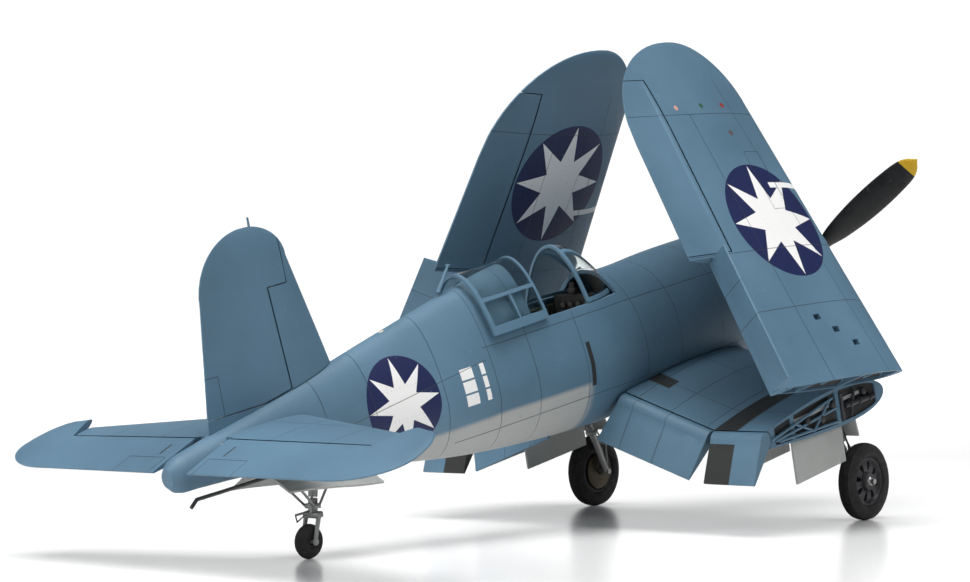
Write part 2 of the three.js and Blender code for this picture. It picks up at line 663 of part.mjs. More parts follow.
function addGlazing() {
  const screen = (offset, last) => {
    const stops = [127, 130, 134, 138, 142, 146, last];
    return loft(stops.map((y) => hoop(y, smoothAt(SCREEN, y, 1), smoothAt(SCREEN, y, 2), offset)));
  };
  const above = box([-30, 30], [120, 160], [SILL + GAP, 60]);
  const windscreen = screen(0, 150.2)
    .subtract(screen(-0.9, 152))
    .intersect(above)
    .subtract(fuselageBody(100, COCKPIT.front + 0.2, 10, 0.7));
  piece("windscreen", windscreen, GLAZING);

  const [front, back] = [CANOPY.front, CANOPY.front + CANOPY.length];
  const cover = (grow, a, b) =>
    loft([a, (a + b) / 2, b].map((y) => hoop(y, 16.9 + grow, 35.2 - 0.025 * (y - front) + grow, 0)));
  const canopy = cover(CANOPY.wall, front, back)
    .subtract(cover(0, front - 1, back + 1))
    .intersect(box([-30, 30], [100, 200], [SILL + 1, 60]));
  const mesh = piece("sliding_canopy", canopy, GLAZING);
  mesh.position.set(0, CANOPY.travel, -CANOPY.travel * CANOPY.slope);
}

// ---------------------------------------------------------------- wings
function addWings() {
  const inner = innerWing();
  const outer = outerWing();
  const hingeHeight = 7.2; // fold hinge line above the chord line
  for (const [name, side] of SIDES) {
    piece(`inner_wing_${name}`, sided(inner.wing, side), BLUE);
    const lower = (mesh, from, to) => {
      const way = flipX(to.clone().sub(from), side).multiplyScalar(side);
      turnAbout(mesh, flipX(from, side), way, -FLAP_DROP);
    };
    const inboard = piece(`inboard_flap_${name}`, sided(inner.inboardFlap, side), BLUE);
    lower(inboard, ...INBOARD_FLAP.map(flapHinge));
    const middle = piece(`middle_flap_${name}`, sided(inner.middleFlap, side), BLUE);
    lower(middle, ...MIDDLE_FLAP.map(flapHinge));

    const fold = new THREE.Group();
    plane.add(fold);
    const spin = new THREE.Quaternion().setFromAxisAngle(vec(0, -side, 0), rad(FOLD_RAKE - DIHEDRAL));
    const pitch = new THREE.Quaternion().setFromAxisAngle(vec(1, 0, 0), rad(FOLD_PITCH));
    const folded = pitch.multiply(spin);
    const hinge = vec(side * FOLD_X, WING_FRONT + 0.35 * CHORD, CHORD_Z + hingeHeight);
    fold.quaternion.copy(folded);
    fold.position.copy(hinge).sub(hinge.clone().applyQuaternion(folded));

    piece(`outer_wing_${name}`, sided(outer.panel, side), BLUE, fold);
    piece(`aileron_${name}`, sided(outer.aileron, side), BLUE, fold);
    const flap = piece(`outer_flap_${name}`, sided(outer.flap, side), BLUE, fold);
    lower(flap, outer.flapHinge.from, outer.flapHinge.to);
  }
}

// ---------------------------------------------------------------- tail pieces
function addTail() {
  const { fin, rudder } = verticalTail();
  piece("fin", fin, BLUE);
  piece("rudder", rudder, BLUE);
  const { stabilizer, elevator } = tailplane();
  const hinge = vec(0, ELEVATOR_HINGE, TAILPLANE_Z);
  for (const [name, side] of SIDES) {
    piece(`stabilizer_${name}`, sided(stabilizer, side), BLUE);
    turnAbout(piece(`elevator_${name}`, sided(elevator, side), BLUE), hinge, OUT, -ELEVATOR_DROP);
  }
  piece("elevator_joiner", bar(hinge.clone().setX(-11.5), hinge.clone().setX(11.5), 0.75, 0.75, 10), STEEL);
}

// ---------------------------------------------------------------- landing gear
const LEG = { top: vec(54, 84.6, -29.9), knee: vec(52.4, 80.4, -47), foot: vec(51.6, 77, -61.6) };

function addMainGear() {
  const axleY = MAIN_WHEEL.y;
  const axleZ = MAIN_WHEEL.z;
  const leg = joined([
    bar(LEG.top, LEG.knee, 2.1),
    bar(LEG.knee, LEG.foot, 1.4),
    bar(vec(49.2, LEG.top.y, LEG.top.z), vec(60, LEG.top.y, LEG.top.z), 1.6),
    bar(vec(50, axleY, axleZ), vec(61.6, axleY, axleZ), 1),
    bar(vec(52.5, 80.6, -46), vec(52.5, 104, -30), 0.9, 0.9, 8),
  ]);
  const shade = loft(
    [[0.1, 4.6], [0.95, 5.4]].map(([t, half]) => {
      const p = LEG.top.clone().lerp(LEG.knee, t);
      return [vec(p.x - half, p.y - 4.2, p.z), vec(p.x + half, p.y - 4.2, p.z),
        vec(p.x + half, p.y - 3.4, p.z), vec(p.x - half, p.y - 3.4, p.z)];
    }),
  );
  const clip = box([52, 54.6], [78.6, 81.2], [-41.5, -39]);
  const fairing = shade
    .intersect(box([40, 70], [60, 100], [-60, -36.6]))
    .add(clip)
    .subtract(bar(LEG.top, LEG.knee, 2.1 + GAP));
  const { x, width, radius } = MAIN_WHEEL;
  const half = width / 2;
  const tyre = turned(
    [[8.1, -half + 1.2], [9.4, -half], [11.2, -half + 0.5], [12.4, -half + 1.8], [radius, 0],
      [12.4, half - 1.8], [11.2, half - 0.5], [9.4, half], [8.1, half - 1.2], [8.1, -half + 1.2]],
    24,
  );
  const hub = turned(
    [[1.35, -2.4], [2.8, -2.4], [3.2, -1], [7.7, -1.8], [7.7, 1.8], [3.2, 1], [2.8, 2.4], [1.35, 2.4],
      [1.35, -2.4]],
    16,
  );
  const toWheel = (solid) => {
    const geometry = geometryOf(solid).rotateZ(-Math.PI / 2);
    return solidOf(geometry.translate(x, axleY, axleZ));
  };
  const door = (at, front, top) => box([at - 0.4, at + 0.4], [front, 128], [top - 15, top]);
  for (const [name, side] of SIDES) {
    piece(`main_gear_leg_${name}`, sided(leg, side), PALE_GRAY);
    piece(`leg_fairing_${name}`, sided(fairing, side), PALE_GRAY);
    piece(`main_tyre_${name}`, sided(toWheel(tyre), side), TYRE);
    piece(`main_hub_${name}`, sided(toWheel(hub), side), BLACK);
    piece(`gear_door_inner_${name}`, sided(door(BAY.inner + 1, 96, -31.5), side), PALE_GRAY);
    piece(`gear_door_outer_${name}`, sided(door(BAY.outer - 1, 100, -33), side), PALE_GRAY);
  }
}

// The caster stands upright when the plane rests on its wheels.
const CASTER = { top: vec(0, 267.2, -14.6), foot: vec(0, 268.3, -19.6) };

function addTailGear() {
  const { y, z, radius, width } = TAIL_WHEEL;
  const strut = joined([
    box([-3.8, 3.8], [256, 271], [-4.4, -1.4]),
    bar(vec(0, 264, -4), CASTER.top, 1.5),
    bar(vec(2.4, 257.5, -4), vec(0.6, 266, -12.6), 0.7, 0.7, 8),
    bar(vec(-2.4, 257.5, -4), vec(-0.6, 266, -12.6), 0.7, 0.7, 8),
  ]);
  piece("tail_gear_strut", strut, ALLOY);
  const way = CASTER.foot.clone().sub(CASTER.top).normalize();
  const collar = CASTER.top.clone().addScaledVector(way, GAP);
  const arms = [2.5, -2.5].map((x) => bar(vec(x, 268.3, -19), vec(x, y, z - 0.4), 0.8, 0.8, 8));
  const fork = joined([
    bar(collar, CASTER.foot, 1.5),
    box([-3.2, 3.2], [267.1, 269.5], [-20.4, -18.4]),
    bar(vec(-3.3, y, z), vec(3.3, y, z), 0.6, 0.6, 10),
    ...arms,
  ]);
  piece("tail_wheel_fork", fork, ALLOY);
  const half = width / 2;
  const wheel = turned(
    [[0.95, -half + 0.3], [2.4, -half + 0.3], [3, -half], [4.4, -half + 0.4], [radius, 0],
      [4.4, half - 0.4], [3, half], [2.4, half - 0.3], [0.95, half - 0.3], [0.95, -half + 0.3]],
    16,
  );
  piece("tail_wheel", solidOf(geometryOf(wheel).rotateZ(-Math.PI / 2).translate(0, y, z)), TYRE);
  const hook = joined([
    bar(vec(0, 282, -4.6), vec(0, 309, -3.4), 0.6, 0.6, 8),
    bar(vec(0, 308.6, -3.4), vec(0, 311.4, -5.4), 0.8, 0.5, 8),
  ]);
  piece("arrestor_hook", hook, STEEL);
  const belly = (at) => smoothAt(STATIONS, at, 2);
  const leaf = loft(
    [250, 286].map((at) => {
      const root = vec(5.4, at, belly(at) + 0.3 - (at > 260 ? 1.6 : 1.0));
      const tip = root.clone().add(vec(6.2, 0, -3.8));
      const thick = vec(0.35, 0, 0.6);
      return [root, tip, tip.clone().add(thick), root.clone().add(thick)];
    }),
  );
  for (const [name, side] of SIDES) piece(`tail_gear_door_${name}`, sided(leaf, side), PALE_GRAY);
}

addNose();
addFuselage();
addCockpit();
addGlazing();
addWings();
addTail();
addMainGear();
addTailGear();

// ---------------------------------------------------------------- standing on the wheels
// The nose-up angle at which the main wheels and the tail wheel touch one plane.
const run = TAIL_WHEEL.y - MAIN_WHEEL.y;
const rise = TAIL_WHEEL.z - MAIN_WHEEL.z;
const sink = MAIN_WHEEL.radius - TAIL_WHEEL.radius;
const noseUp = Math.atan2(rise, run) + Math.asin(sink / Math.hypot(run, rise));
plane.rotation.x = -noseUp;

const standing = new THREE.Group();
standing.add(plane);
standing.updateMatrixWorld(true);
const extent = new THREE.Box3().setFromObject(standing, true);
plane.position.set(0, -(extent.min.y + extent.max.y) / 2, -extent.min.z);

export default standing;
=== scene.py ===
"""The looks of a 1/32 folding-wing carrier fighter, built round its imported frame.

Shapes are drawn in millimetres in the air frame: x to port, y aft from the propeller hub's tip, z up from
the thrust line. An outer wing is drawn in its own panel frame: x along the span, y along the chord, z up.
Each piece keeps those drawing coordinates in its "plan" attribute, so that panel lines and markings stay
true to the drawing on a wing that is folded or a flap that is lowered.
"""
import json
import logging
import math
from dataclasses import dataclass, field
from enum import Enum
from typing import Iterable, Sequence

import bpy
from mathutils import Matrix, Vector

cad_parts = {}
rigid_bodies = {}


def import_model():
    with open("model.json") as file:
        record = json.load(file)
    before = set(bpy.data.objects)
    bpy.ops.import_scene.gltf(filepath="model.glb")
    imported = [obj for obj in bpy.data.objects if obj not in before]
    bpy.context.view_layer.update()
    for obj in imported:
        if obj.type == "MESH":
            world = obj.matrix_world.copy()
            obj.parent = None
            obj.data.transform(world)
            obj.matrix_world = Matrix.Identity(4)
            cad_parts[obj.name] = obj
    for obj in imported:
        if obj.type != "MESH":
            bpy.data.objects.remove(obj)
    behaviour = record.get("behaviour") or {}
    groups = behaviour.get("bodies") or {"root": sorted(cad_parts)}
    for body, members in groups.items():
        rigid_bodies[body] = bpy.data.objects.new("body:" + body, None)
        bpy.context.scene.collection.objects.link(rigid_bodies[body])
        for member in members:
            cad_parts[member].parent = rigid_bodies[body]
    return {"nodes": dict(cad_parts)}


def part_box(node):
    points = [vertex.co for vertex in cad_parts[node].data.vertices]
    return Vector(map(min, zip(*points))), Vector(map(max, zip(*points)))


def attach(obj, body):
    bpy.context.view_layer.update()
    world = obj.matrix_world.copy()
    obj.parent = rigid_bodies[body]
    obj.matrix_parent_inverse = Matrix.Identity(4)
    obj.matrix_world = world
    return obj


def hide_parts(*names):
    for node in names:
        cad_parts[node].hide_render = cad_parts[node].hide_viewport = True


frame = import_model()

LOG = logging.getLogger("warbird")
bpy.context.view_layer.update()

Point = tuple[float, float, float]
Row = tuple[float, ...]

MM = 0.001
GAP = 0.35
SKIN = 1.3

FOLD_X = 69.0
HALF_SPAN = 195.3
DIHEDRAL = math.radians(8.5)
PANEL = (HALF_SPAN - FOLD_X) / math.cos(DIHEDRAL)
WING_FRONT = 75.5
CHORD = 82.5
CHORD_Z = -30.6
HINGE_AFT = 68.0
CAMBER = 0.012
FOLD_ANGLE = math.radians(119) - DIHEDRAL
FOLD_PITCH = math.radians(9)
FOLD_HINGE = Vector((FOLD_X, WING_FRONT + 0.35 * CHORD, CHORD_Z + 7.2))
FLAP_DROP = math.radians(50)
ELEVATOR_DROP = math.radians(12)

MAIN_WHEEL = Vector((57.4, 77.0, -61.6))
MAIN_RADIUS = 12.7
TAIL_WHEEL = Vector((0.0, 271.6, -26.4))
TAIL_RADIUS = 4.95

SILL = 15.3
COCKPIT = (134.3, 175.8)
FUSELAGE_FRONT, FUSELAGE_BACK = 59.0, 317.5
POCKETS = ((5, 26), (28.2, 52), (54, HINGE_AFT - 5))
CANOPY_FRONT, CANOPY_LENGTH, CANOPY_TRAVEL, CANOPY_SLOPE = 150.4, 25.6, 19.8, 0.05
TAILPLANE_Z = 9.3
TAILPLANE_TIP = 78.5
ELEVATOR_HINGE = 300.0
PROP_RADIUS = 63.5
PROP_PLANE = 10.7
FIRST_BLADE = 56.5


class Side(Enum):
    """The two sides of the airframe."""

    PORT = 1
    STARBOARD = -1

    @property
    def label(self) -> str:
        """The side's name, as the frame's nodes spell it."""
        return self.name.lower()


class Scheme(Enum):
    """Which markings and panel lines a painted piece carries."""

    PLAIN = "plain"
    FUSELAGE = "fuselage"
    COWL = "cowl"
    INNER_WING = "inner_wing"
    FLAP = "flap"
    WALK_FLAP = "walk_flap"
    PANEL_UPPER_STAR = "panel_upper_star"
    PANEL_LOWER_STAR = "panel_lower_star"
    FIN = "fin"
    TAILPLANE = "tailplane"


# ------------------------------------------------------------------ placing
def standing() -> Matrix:
    """Works out the matrix from the air frame, in millimetres, to the row frame, in metres.

    Returns:
        The nose-up turn at which the three wheels touch one plane, moved so that the port wheel's
        centre is where the frame has it.
    """
    run, rise = TAIL_WHEEL.y - MAIN_WHEEL.y, TAIL_WHEEL.z - MAIN_WHEEL.z
    nose_up = math.atan2(rise, run) + math.asin((MAIN_RADIUS - TAIL_RADIUS) / math.hypot(run, rise))
    turn = Matrix.Rotation(-nose_up, 4, "X") @ Matrix.Scale(MM, 4)
    low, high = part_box("main_tyre_port")
    shift = (low + high) / 2 - turn @ MAIN_WHEEL
    return Matrix.Translation(shift) @ turn


STANCE = standing()


def about(point: Vector, turn: Matrix) -> Matrix:
    """Moves a turn so that it goes about a point."""
    return Matrix.Translation(point) @ turn @ Matrix.Translation(-point)


def side_matrix(side: Side) -> Matrix:
    """Gives the mirror matrix for a side: port as drawn, starboard turned over."""
    return Matrix.Diagonal((side.value, 1, 1, 1))


def panel_matrix(side: Side) -> Matrix:
    """Gives the matrix from the panel frame to the air frame, with the wing folded.

    Args:
        side: Which wing.

    Returns:
        The panel's place, dihedral, mirror, and the fold about its hinge.
    """
    place = Matrix.Translation((FOLD_X, WING_FRONT, CHORD_Z)) @ Matrix.Rotation(-DIHEDRAL, 4, "Y")
    hinge = side_matrix(side) @ FOLD_HINGE
    spin = Matrix.Rotation(FOLD_ANGLE, 4, Vector((0, -side.value, 0)))
    folded = Matrix.Rotation(FOLD_PITCH, 4, "X") @ spin
    return about(hinge, folded) @ side_matrix(side) @ place


def smooth_at(rows: Sequence[Row], y: float, column: int) -> float:
    """Reads a smooth value at y through rows of (y, value, ...).

    Args:
        rows: The stations, in order of y.
        y: Where to read.
        column: Which value to read.

    Returns:
        The value on the smooth curve through that column.
    """
    i = 0
    while i < len(rows) - 2 and y > rows[i + 1][0]:
        i += 1
    span = rows[i + 1][0] - rows[i][0]
    t = min(1.0, max(0.0, (y - rows[i][0]) / span))

    def slope(k: int) -> float:
        """The slope at one station, from its neighbours."""
        before, after = rows[max(k - 1, 0)], rows[min(k + 1, len(rows) - 1)]
        return (after[column] - before[column]) / (after[0] - before[0])

    t2, t3 = t * t, t ** 3
    ends = (2 * t3 - 3 * t2 + 1) * rows[i][column] + (3 * t2 - 2 * t3) * rows[i + 1][column]
    return ends + span * ((t3 - 2 * t2 + t) * slope(i) + (t3 - t2) * slope(i + 1))


def steps(low: float, high: float, count: int) -> list[float]:
    """Gives count + 1 evenly spaced values from low to high."""
    return [low + (high - low) * i / count for i in range(count + 1)]


# ------------------------------------------------------------------ mesh tools
def clear_selection() -> None:
    """Leaves nothing selected, so that an operator acts only on what is picked next."""
    for obj in bpy.context.view_layer.objects:
        obj.select_set(False)


def pick(obj: bpy.types.Object) -> None:
    """Makes one object the only selected one, and the active one."""
    clear_selection()
    obj.select_set(True)
    bpy.context.view_layer.objects.active = obj


def settle(obj: bpy.types.Object) -> bpy.types.Object:
    """Moves an object's turn, scale and place into its mesh."""
    pick(obj)
    bpy.ops.object.transform_apply(location=True, rotation=True, scale=True)
    return obj


def apply_modifier(obj: bpy.types.Object, kind: str, **settings: object) -> bpy.types.Object:
    """Adds a modifier, sets it, and applies it.

    Args:
        obj: The piece.
        kind: The modifier's type.
        **settings: Its settings by name.

    Returns:
        The same piece.
    """
    modifier = obj.modifiers.new(kind.title(), kind)
    for name, value in settings.items():
        setattr(modifier, name, value)
    pick(obj)
    bpy.ops.object.modifier_apply(modifier=modifier.name)
    return obj


def boolean(obj: bpy.types.Object, tool: bpy.types.Object, way: str) -> bpy.types.Object:
    """Cuts, keeps or joins with a tool, and takes the tool away."""
    apply_modifier(obj, "BOOLEAN", object=tool, operation=way, solver="EXACT")
    bpy.data.objects.remove(tool)
    return obj


def cut(obj: bpy.types.Object, *tools: bpy.types.Object) -> bpy.types.Object:
    """Takes each tool's space out of a piece."""
    for tool in tools:
        boolean(obj, tool, "DIFFERENCE")
    return obj


def keep(obj: bpy.types.Object, tool: bpy.types.Object) -> bpy.types.Object:
    """Keeps only what lies inside the tool."""
    return boolean(obj, tool, "INTERSECT")


def fuse(obj: bpy.types.Object, tool: bpy.types.Object) -> bpy.types.Object:
    """Joins a tool to a piece as one solid."""
    return boolean(obj, tool, "UNION")


def duplicate(obj: bpy.types.Object) -> bpy.types.Object:
    """Copies a piece, with a mesh of its own."""
    copy = obj.copy()
    copy.data = obj.data.copy()
    bpy.context.scene.collection.objects.link(copy)
    return copy


def gather(objects: Sequence[bpy.types.Object]) -> bpy.types.Object:
    """Joins several bodies into one object without welding them."""
    pick(objects[0])
    for obj in objects:
        obj.select_set(True)
    bpy.ops.object.join()
    return objects[0]


def face_out(obj: bpy.types.Object) -> bpy.types.Object:
    """Welds doubled points and turns every face outwards."""
    pick(obj)
    bpy.ops.object.mode_set(mode="EDIT")
    bpy.ops.mesh.select_all(action="SELECT")
    bpy.ops.mesh.remove_doubles(threshold=1e-4)
    bpy.ops.mesh.normals_make_consistent(inside=False)
    bpy.ops.object.mode_set(mode="OBJECT")
    return obj


def mesh_of(name: str, points: Sequence[Sequence[float]], faces: Sequence[Sequence[int]]) -> bpy.types.Object:
    """Makes an object from points and faces."""
    mesh = bpy.data.meshes.new(name)
    mesh.from_pydata([tuple(p) for p in points], [], [tuple(f) for f in faces])
    obj = bpy.data.objects.new(name, mesh)
    bpy.context.scene.collection.objects.link(obj)
    return obj


def loft(rings: Sequence[Sequence[Point]]) -> bpy.types.Object:
    """Skins a row of closed rings with equal point counts, and caps both ends.

    Args:
        rings: The rings, in order.

    Returns:
        One closed solid whose faces point out.
    """
    count = len(rings[0])
    points = [p for ring in rings for p in ring]
    faces: list[list[int]] = []
    for r in range(len(rings) - 1):
        for i in range(count):
            a, b = r * count + i, r * count + (i + 1) % count
            faces.append([a, b, b + count, a + count])
    faces.append(list(range(count))[::-1])
    faces.append(list(range((len(rings) - 1) * count, len(rings) * count)))
    return face_out(mesh_of("loft", points, faces))


def box(x: Sequence[float], y: Sequence[float], z: Sequence[float], bevel: float = 0) -> bpy.types.Object:
    """Makes a box between two corners, with rounded edges if a bevel is given."""
    clear_selection()
    spans = [(a[0], a[1]) for a in (x, y, z)]
    bpy.ops.mesh.primitive_cube_add(size=1, location=[(a + b) / 2 for a, b in spans])
    obj = bpy.context.object
    obj.scale = [b - a for a, b in spans]
    settle(obj)
    if bevel:
        apply_modifier(obj, "BEVEL", width=bevel, segments=2, limit_method="NONE")
    return obj


def bar(start: Sequence[float], end: Sequence[float], radius: float, end_radius: float | None = None,
        sides: int = 20, bevel: float = 0) -> bpy.types.Object:
    """Makes a round bar, or a cone, from one point to another.

    Args:
        start: The first end.
        end: The second end.
        radius: The radius at the first end.
        end_radius: The radius at the second end, if it differs.
        sides: How many sides the bar has.
        bevel: How much the rims are rounded.

    Returns:
        The bar.
    """
    a, b = Vector(start), Vector(end)
    clear_selection()
    bpy.ops.mesh.primitive_cone_add(vertices=sides, radius1=radius, depth=(b - a).length,
                                    radius2=radius if end_radius is None else end_radius)
    obj = bpy.context.object
    obj.rotation_mode = "QUATERNION"
    obj.rotation_quaternion = (b - a).to_track_quat("Z", "Y")
    obj.location = (a + b) / 2
    settle(obj)
    if bevel:
        apply_modifier(obj, "BEVEL", width=bevel, segments=2, limit_method="ANGLE")
    return obj


def pipe(route: Sequence[Sequence[float]], radius: float, sides: int = 10) -> bpy.types.Object:
    """Joins round bars end to end along a route, with a ball at each bend."""
    made = [bar(a, b, radius, sides=sides) for a, b in zip(route, route[1:])]
    for corner in route[1:-1]:
        clear_selection()
        bpy.ops.mesh.primitive_uv_sphere_add(segments=sides, ring_count=6, radius=radius, location=corner)
        made.append(settle(bpy.context.object))
    return gather(made)


def turned(profile: Sequence[Sequence[float]], sides: int, axis: str = "Y") -> bpy.types.Object:
    """Spins a closed profile of (radius, place along the axis) round the axis.

    Args:
        profile: The outline, in order. It closes on itself, or starts and ends on the axis.
        sides: How many steps the spin takes.
        axis: The axis to spin round, "Y" or "X".

    Returns:
        The closed solid, with its faces out.
    """
    along = {"Y": lambda r, t: (r, t, 0.0), "X": lambda r, t: (t, r, 0.0)}[axis]
    mesh = bpy.data.meshes.new("turned")
    closes = tuple(profile[0]) == tuple(profile[-1])
    outline = list(profile[:-1]) if closes else list(profile)
    edges = [(i, i + 1) for i in range(len(outline) - 1)] + ([(len(outline) - 1, 0)] if closes else [])
    mesh.from_pydata([along(r, t) for r, t in outline], edges, [])
    obj = bpy.data.objects.new("turned", mesh)
    bpy.context.scene.collection.objects.link(obj)
    pick(obj)
    bpy.ops.object.mode_set(mode="EDIT")
    bpy.ops.mesh.select_all(action="SELECT")
    way = (0, 1, 0) if axis == "Y" else (1, 0, 0)
    bpy.ops.mesh.spin(steps=sides, angle=2 * math.pi, center=(0, 0, 0), axis=way, use_auto_merge=True)
    bpy.ops.object.mode_set(mode="OBJECT")
    return face_out(obj)


def moved(obj: bpy.types.Object, matrix: Matrix) -> bpy.types.Object:
    """Moves a mesh by a matrix, and turns its faces back out if the matrix mirrors it."""
    obj.data.transform(matrix)
    if matrix.determinant() < 0:
        obj.data.flip_normals()
    obj.data.update()
    return obj


# ------------------------------------------------------------------ materials
class Wire:
    """A value in a material's node tree, with plain arithmetic on it."""

    def __init__(self, tree: bpy.types.NodeTree, socket: bpy.types.NodeSocket) -> None:
        """Keeps the tree and the socket that carries the value."""
        self.tree = tree
        self.socket = socket

    def _math(self, operation: str, *others: "Wire | float", clamp: bool = False) -> "Wire":
        """Adds one Math node fed by this value and the others."""
        node = self.tree.nodes.new("ShaderNodeMath")
        node.operation = operation
        node.use_clamp = clamp
        self.tree.links.new(self.socket, node.inputs[0])
        for index, other in enumerate(others, start=1):
            if isinstance(other, Wire):
                self.tree.links.new(other.socket, node.inputs[index])
            else:
                node.inputs[index].default_value = other
        return Wire(self.tree, node.outputs[0])

    def __add__(self, other: "Wire | float") -> "Wire":
        """Sum."""
        return self._math("ADD", other)

    def __sub__(self, other: "Wire | float") -> "Wire":
        """Difference."""
        return self._math("SUBTRACT", other)

    def __mul__(self, other: "Wire | float") -> "Wire":
        """Product."""
        return self._math("MULTIPLY", other)

    def __and__(self, other: "Wire") -> "Wire":
        """Both, for masks from 0 to 1."""
        return self._math("MINIMUM", other)

    def __or__(self, other: "Wire") -> "Wire":
        """Either, for masks from 0 to 1."""
        return self._math("MAXIMUM", other)

    def inverse(self) -> "Wire":
        """One minus the mask."""
        return self._math("MULTIPLY", -1.0) + 1.0

    def size(self) -> "Wire":
        """The value without its sign."""
        return self._math("ABSOLUTE")

    def bounce(self, span: float) -> "Wire":
        """Runs from 0 to span and back, again and again."""
        return self._math("PINGPONG", span)

    def angle(self, other: "Wire") -> "Wire":
        """The angle whose sine goes with this value and cosine with the other."""
        return self._math("ARCTAN2", other)

    def hypot(self, other: "Wire") -> "Wire":
        """The length of the two values at right angles."""
        return ((self * self) + (other * other))._math("SQRT")

    def cosine(self) -> "Wire":
        """The cosine."""
        return self._math("COSINE")

    def sine(self) -> "Wire":
        """The sine."""
        return self._math("SINE")

    def below(self, edge: "Wire | float", soft: float = 0.05) -> "Wire":
        """A mask: 1 below the edge, 0 above it, with a soft step between."""
        return ((self - edge) * (-1.0 / soft))._math("ADD", 0.5, clamp=True)

    def above(self, edge: "Wire | float", soft: float = 0.05) -> "Wire":
        """A mask: 1 above the edge, 0 below it."""
        return ((self - edge) * (1.0 / soft))._math("ADD", 0.5, clamp=True)

    def near(self, place: "Wire | float", half: float, soft: float = 0.05) -> "Wire":
        """A mask: 1 within half of a place."""
        return (self - place).size().below(half, soft)

    def within(self, low: float, high: float, soft: float = 0.05) -> "Wire":
        """A mask: 1 from low to high."""
        return self.near((low + high) / 2, (high - low) / 2, soft)


Color = tuple[float, float, float]


class Finish:
    """A material under construction: its tree, its shader and the coordinates it reads."""

    def __init__(self, name: str, roughness: float, metallic: float = 0.0) -> None:
        """Starts a material with a plain shader.

        Args:
            name: The material's name.
            roughness: The shader's own roughness.
            metallic: The shader's own metallic value.
        """
        self.material = bpy.data.materials.new(name)
        self.material.use_nodes = True
        self.tree = self.material.node_tree
        self.shader = self.tree.nodes["Principled BSDF"]
        self.shader.inputs["Roughness"].default_value = roughness
        self.shader.inputs["Metallic"].default_value = metallic
        self.shader.inputs["Specular IOR Level"].default_value = 0.4

    def plan(self) -> tuple[Wire, Wire, Wire]:
        """Reads the drawing coordinates kept on the mesh, in millimetres."""
        node = self.tree.nodes.new("ShaderNodeAttribute")
        node.attribute_name = "plan"
        apart = self.tree.nodes.new("ShaderNodeSeparateXYZ")
        self.tree.links.new(node.outputs["Vector"], apart.inputs[0])
        x, y, z = (Wire(self.tree, apart.outputs[i]) for i in range(3))
        return x, y, z

    def place(self) -> tuple[Wire, Wire, Wire]:
        """Reads Object coordinates, in metres."""
        node = self.tree.nodes.new("ShaderNodeTexCoord")
        apart = self.tree.nodes.new("ShaderNodeSeparateXYZ")
        self.tree.links.new(node.outputs["Object"], apart.inputs[0])
        x, y, z = (Wire(self.tree, apart.outputs[i]) for i in range(3))
        return x, y, z

    def noise(self, scale: float, detail: float = 4, stretch: Point = (1, 1, 1)) -> Wire:
        """Adds noise on Object coordinates.

        Args:
            scale: How many grains there are to a metre.
            detail: How many finer layers it has.
            stretch: How much it is drawn out along each axis.

        Returns:
            A value round 0.5.
        """
        place = self.tree.nodes.new("ShaderNodeTexCoord")
        mapping = self.tree.nodes.new("ShaderNodeMapping")
        mapping.inputs["Scale"].default_value = stretch
        node = self.tree.nodes.new("ShaderNodeTexNoise")
        node.inputs["Scale"].default_value = scale
        node.inputs["Detail"].default_value = detail
        self.tree.links.new(place.outputs["Object"], mapping.inputs["Vector"])
        self.tree.links.new(mapping.outputs["Vector"], node.inputs["Vector"])
        return Wire(self.tree, node.outputs["Fac"])

    def mix(self, mask: Wire, under: bpy.types.NodeSocket | Color, over: bpy.types.NodeSocket | Color
            ) -> bpy.types.NodeSocket:
        """Lays one colour over another by a mask."""
        node = self.tree.nodes.new("ShaderNodeMix")
        node.data_type = "RGBA"
        self.tree.links.new(mask.socket, node.inputs["Factor"])
        for socket, value in ((node.inputs[6], under), (node.inputs[7], over)):
            if isinstance(value, bpy.types.NodeSocket):
                self.tree.links.new(value, socket)
            else:
                socket.default_value = (*value, 1)
        return node.outputs[2]

    def close(self, color: bpy.types.NodeSocket, relief: Wire | None = None, depth: float = 0.0,
              roughness: Wire | None = None) -> bpy.types.Material:
        """Wires the colour, relief and roughness to the shader.

        Args:
            color: The finished colour.
            relief: Height from 0 to 1, where 1 stands proud.
            depth: The height's real depth, in metres.
            roughness: Roughness, where it varies over the surface.

        Returns:
            The material.
        """
        self.tree.links.new(color, self.shader.inputs["Base Color"])
        if relief is not None:
            bump = self.tree.nodes.new("ShaderNodeBump")
            bump.inputs["Distance"].default_value = depth
            bump.inputs["Strength"].default_value = 1.0
            self.tree.links.new(relief.socket, bump.inputs["Height"])
            self.tree.links.new(bump.outputs["Normal"], self.shader.inputs["Normal"])
        if roughness is not None:
            self.tree.links.new(roughness.socket, self.shader.inputs["Roughness"])
        return self.material


def burst(u: Wire, v: Wire, radius: float, points: int = 8, inner: float = 0.42) -> Wire:
    """Draws a plain many-pointed burst as a mask.

    Args:
        u: Distance from its centre one way.
        v: Distance from its centre the other way.
        radius: How far its points reach.
        points: How many points it has.
        inner: How deep its notches reach, as a share of the radius.

    Returns:
        A mask: 1 inside the burst.
    """
    wedge = math.pi / points
    turn = v.angle(u).bounce(wedge)
    reach = u.hypot(v)
    across, up = reach * turn.cosine(), reach * turn.sine()
    notch = (inner * radius * math.cos(wedge), inner * radius * math.sin(wedge))
    rise, run = notch[1], notch[0] - radius
    side = up * (run / math.hypot(rise, run)) - (across - radius) * (rise / math.hypot(rise, run))
    return side.above(0.0, 0.08)


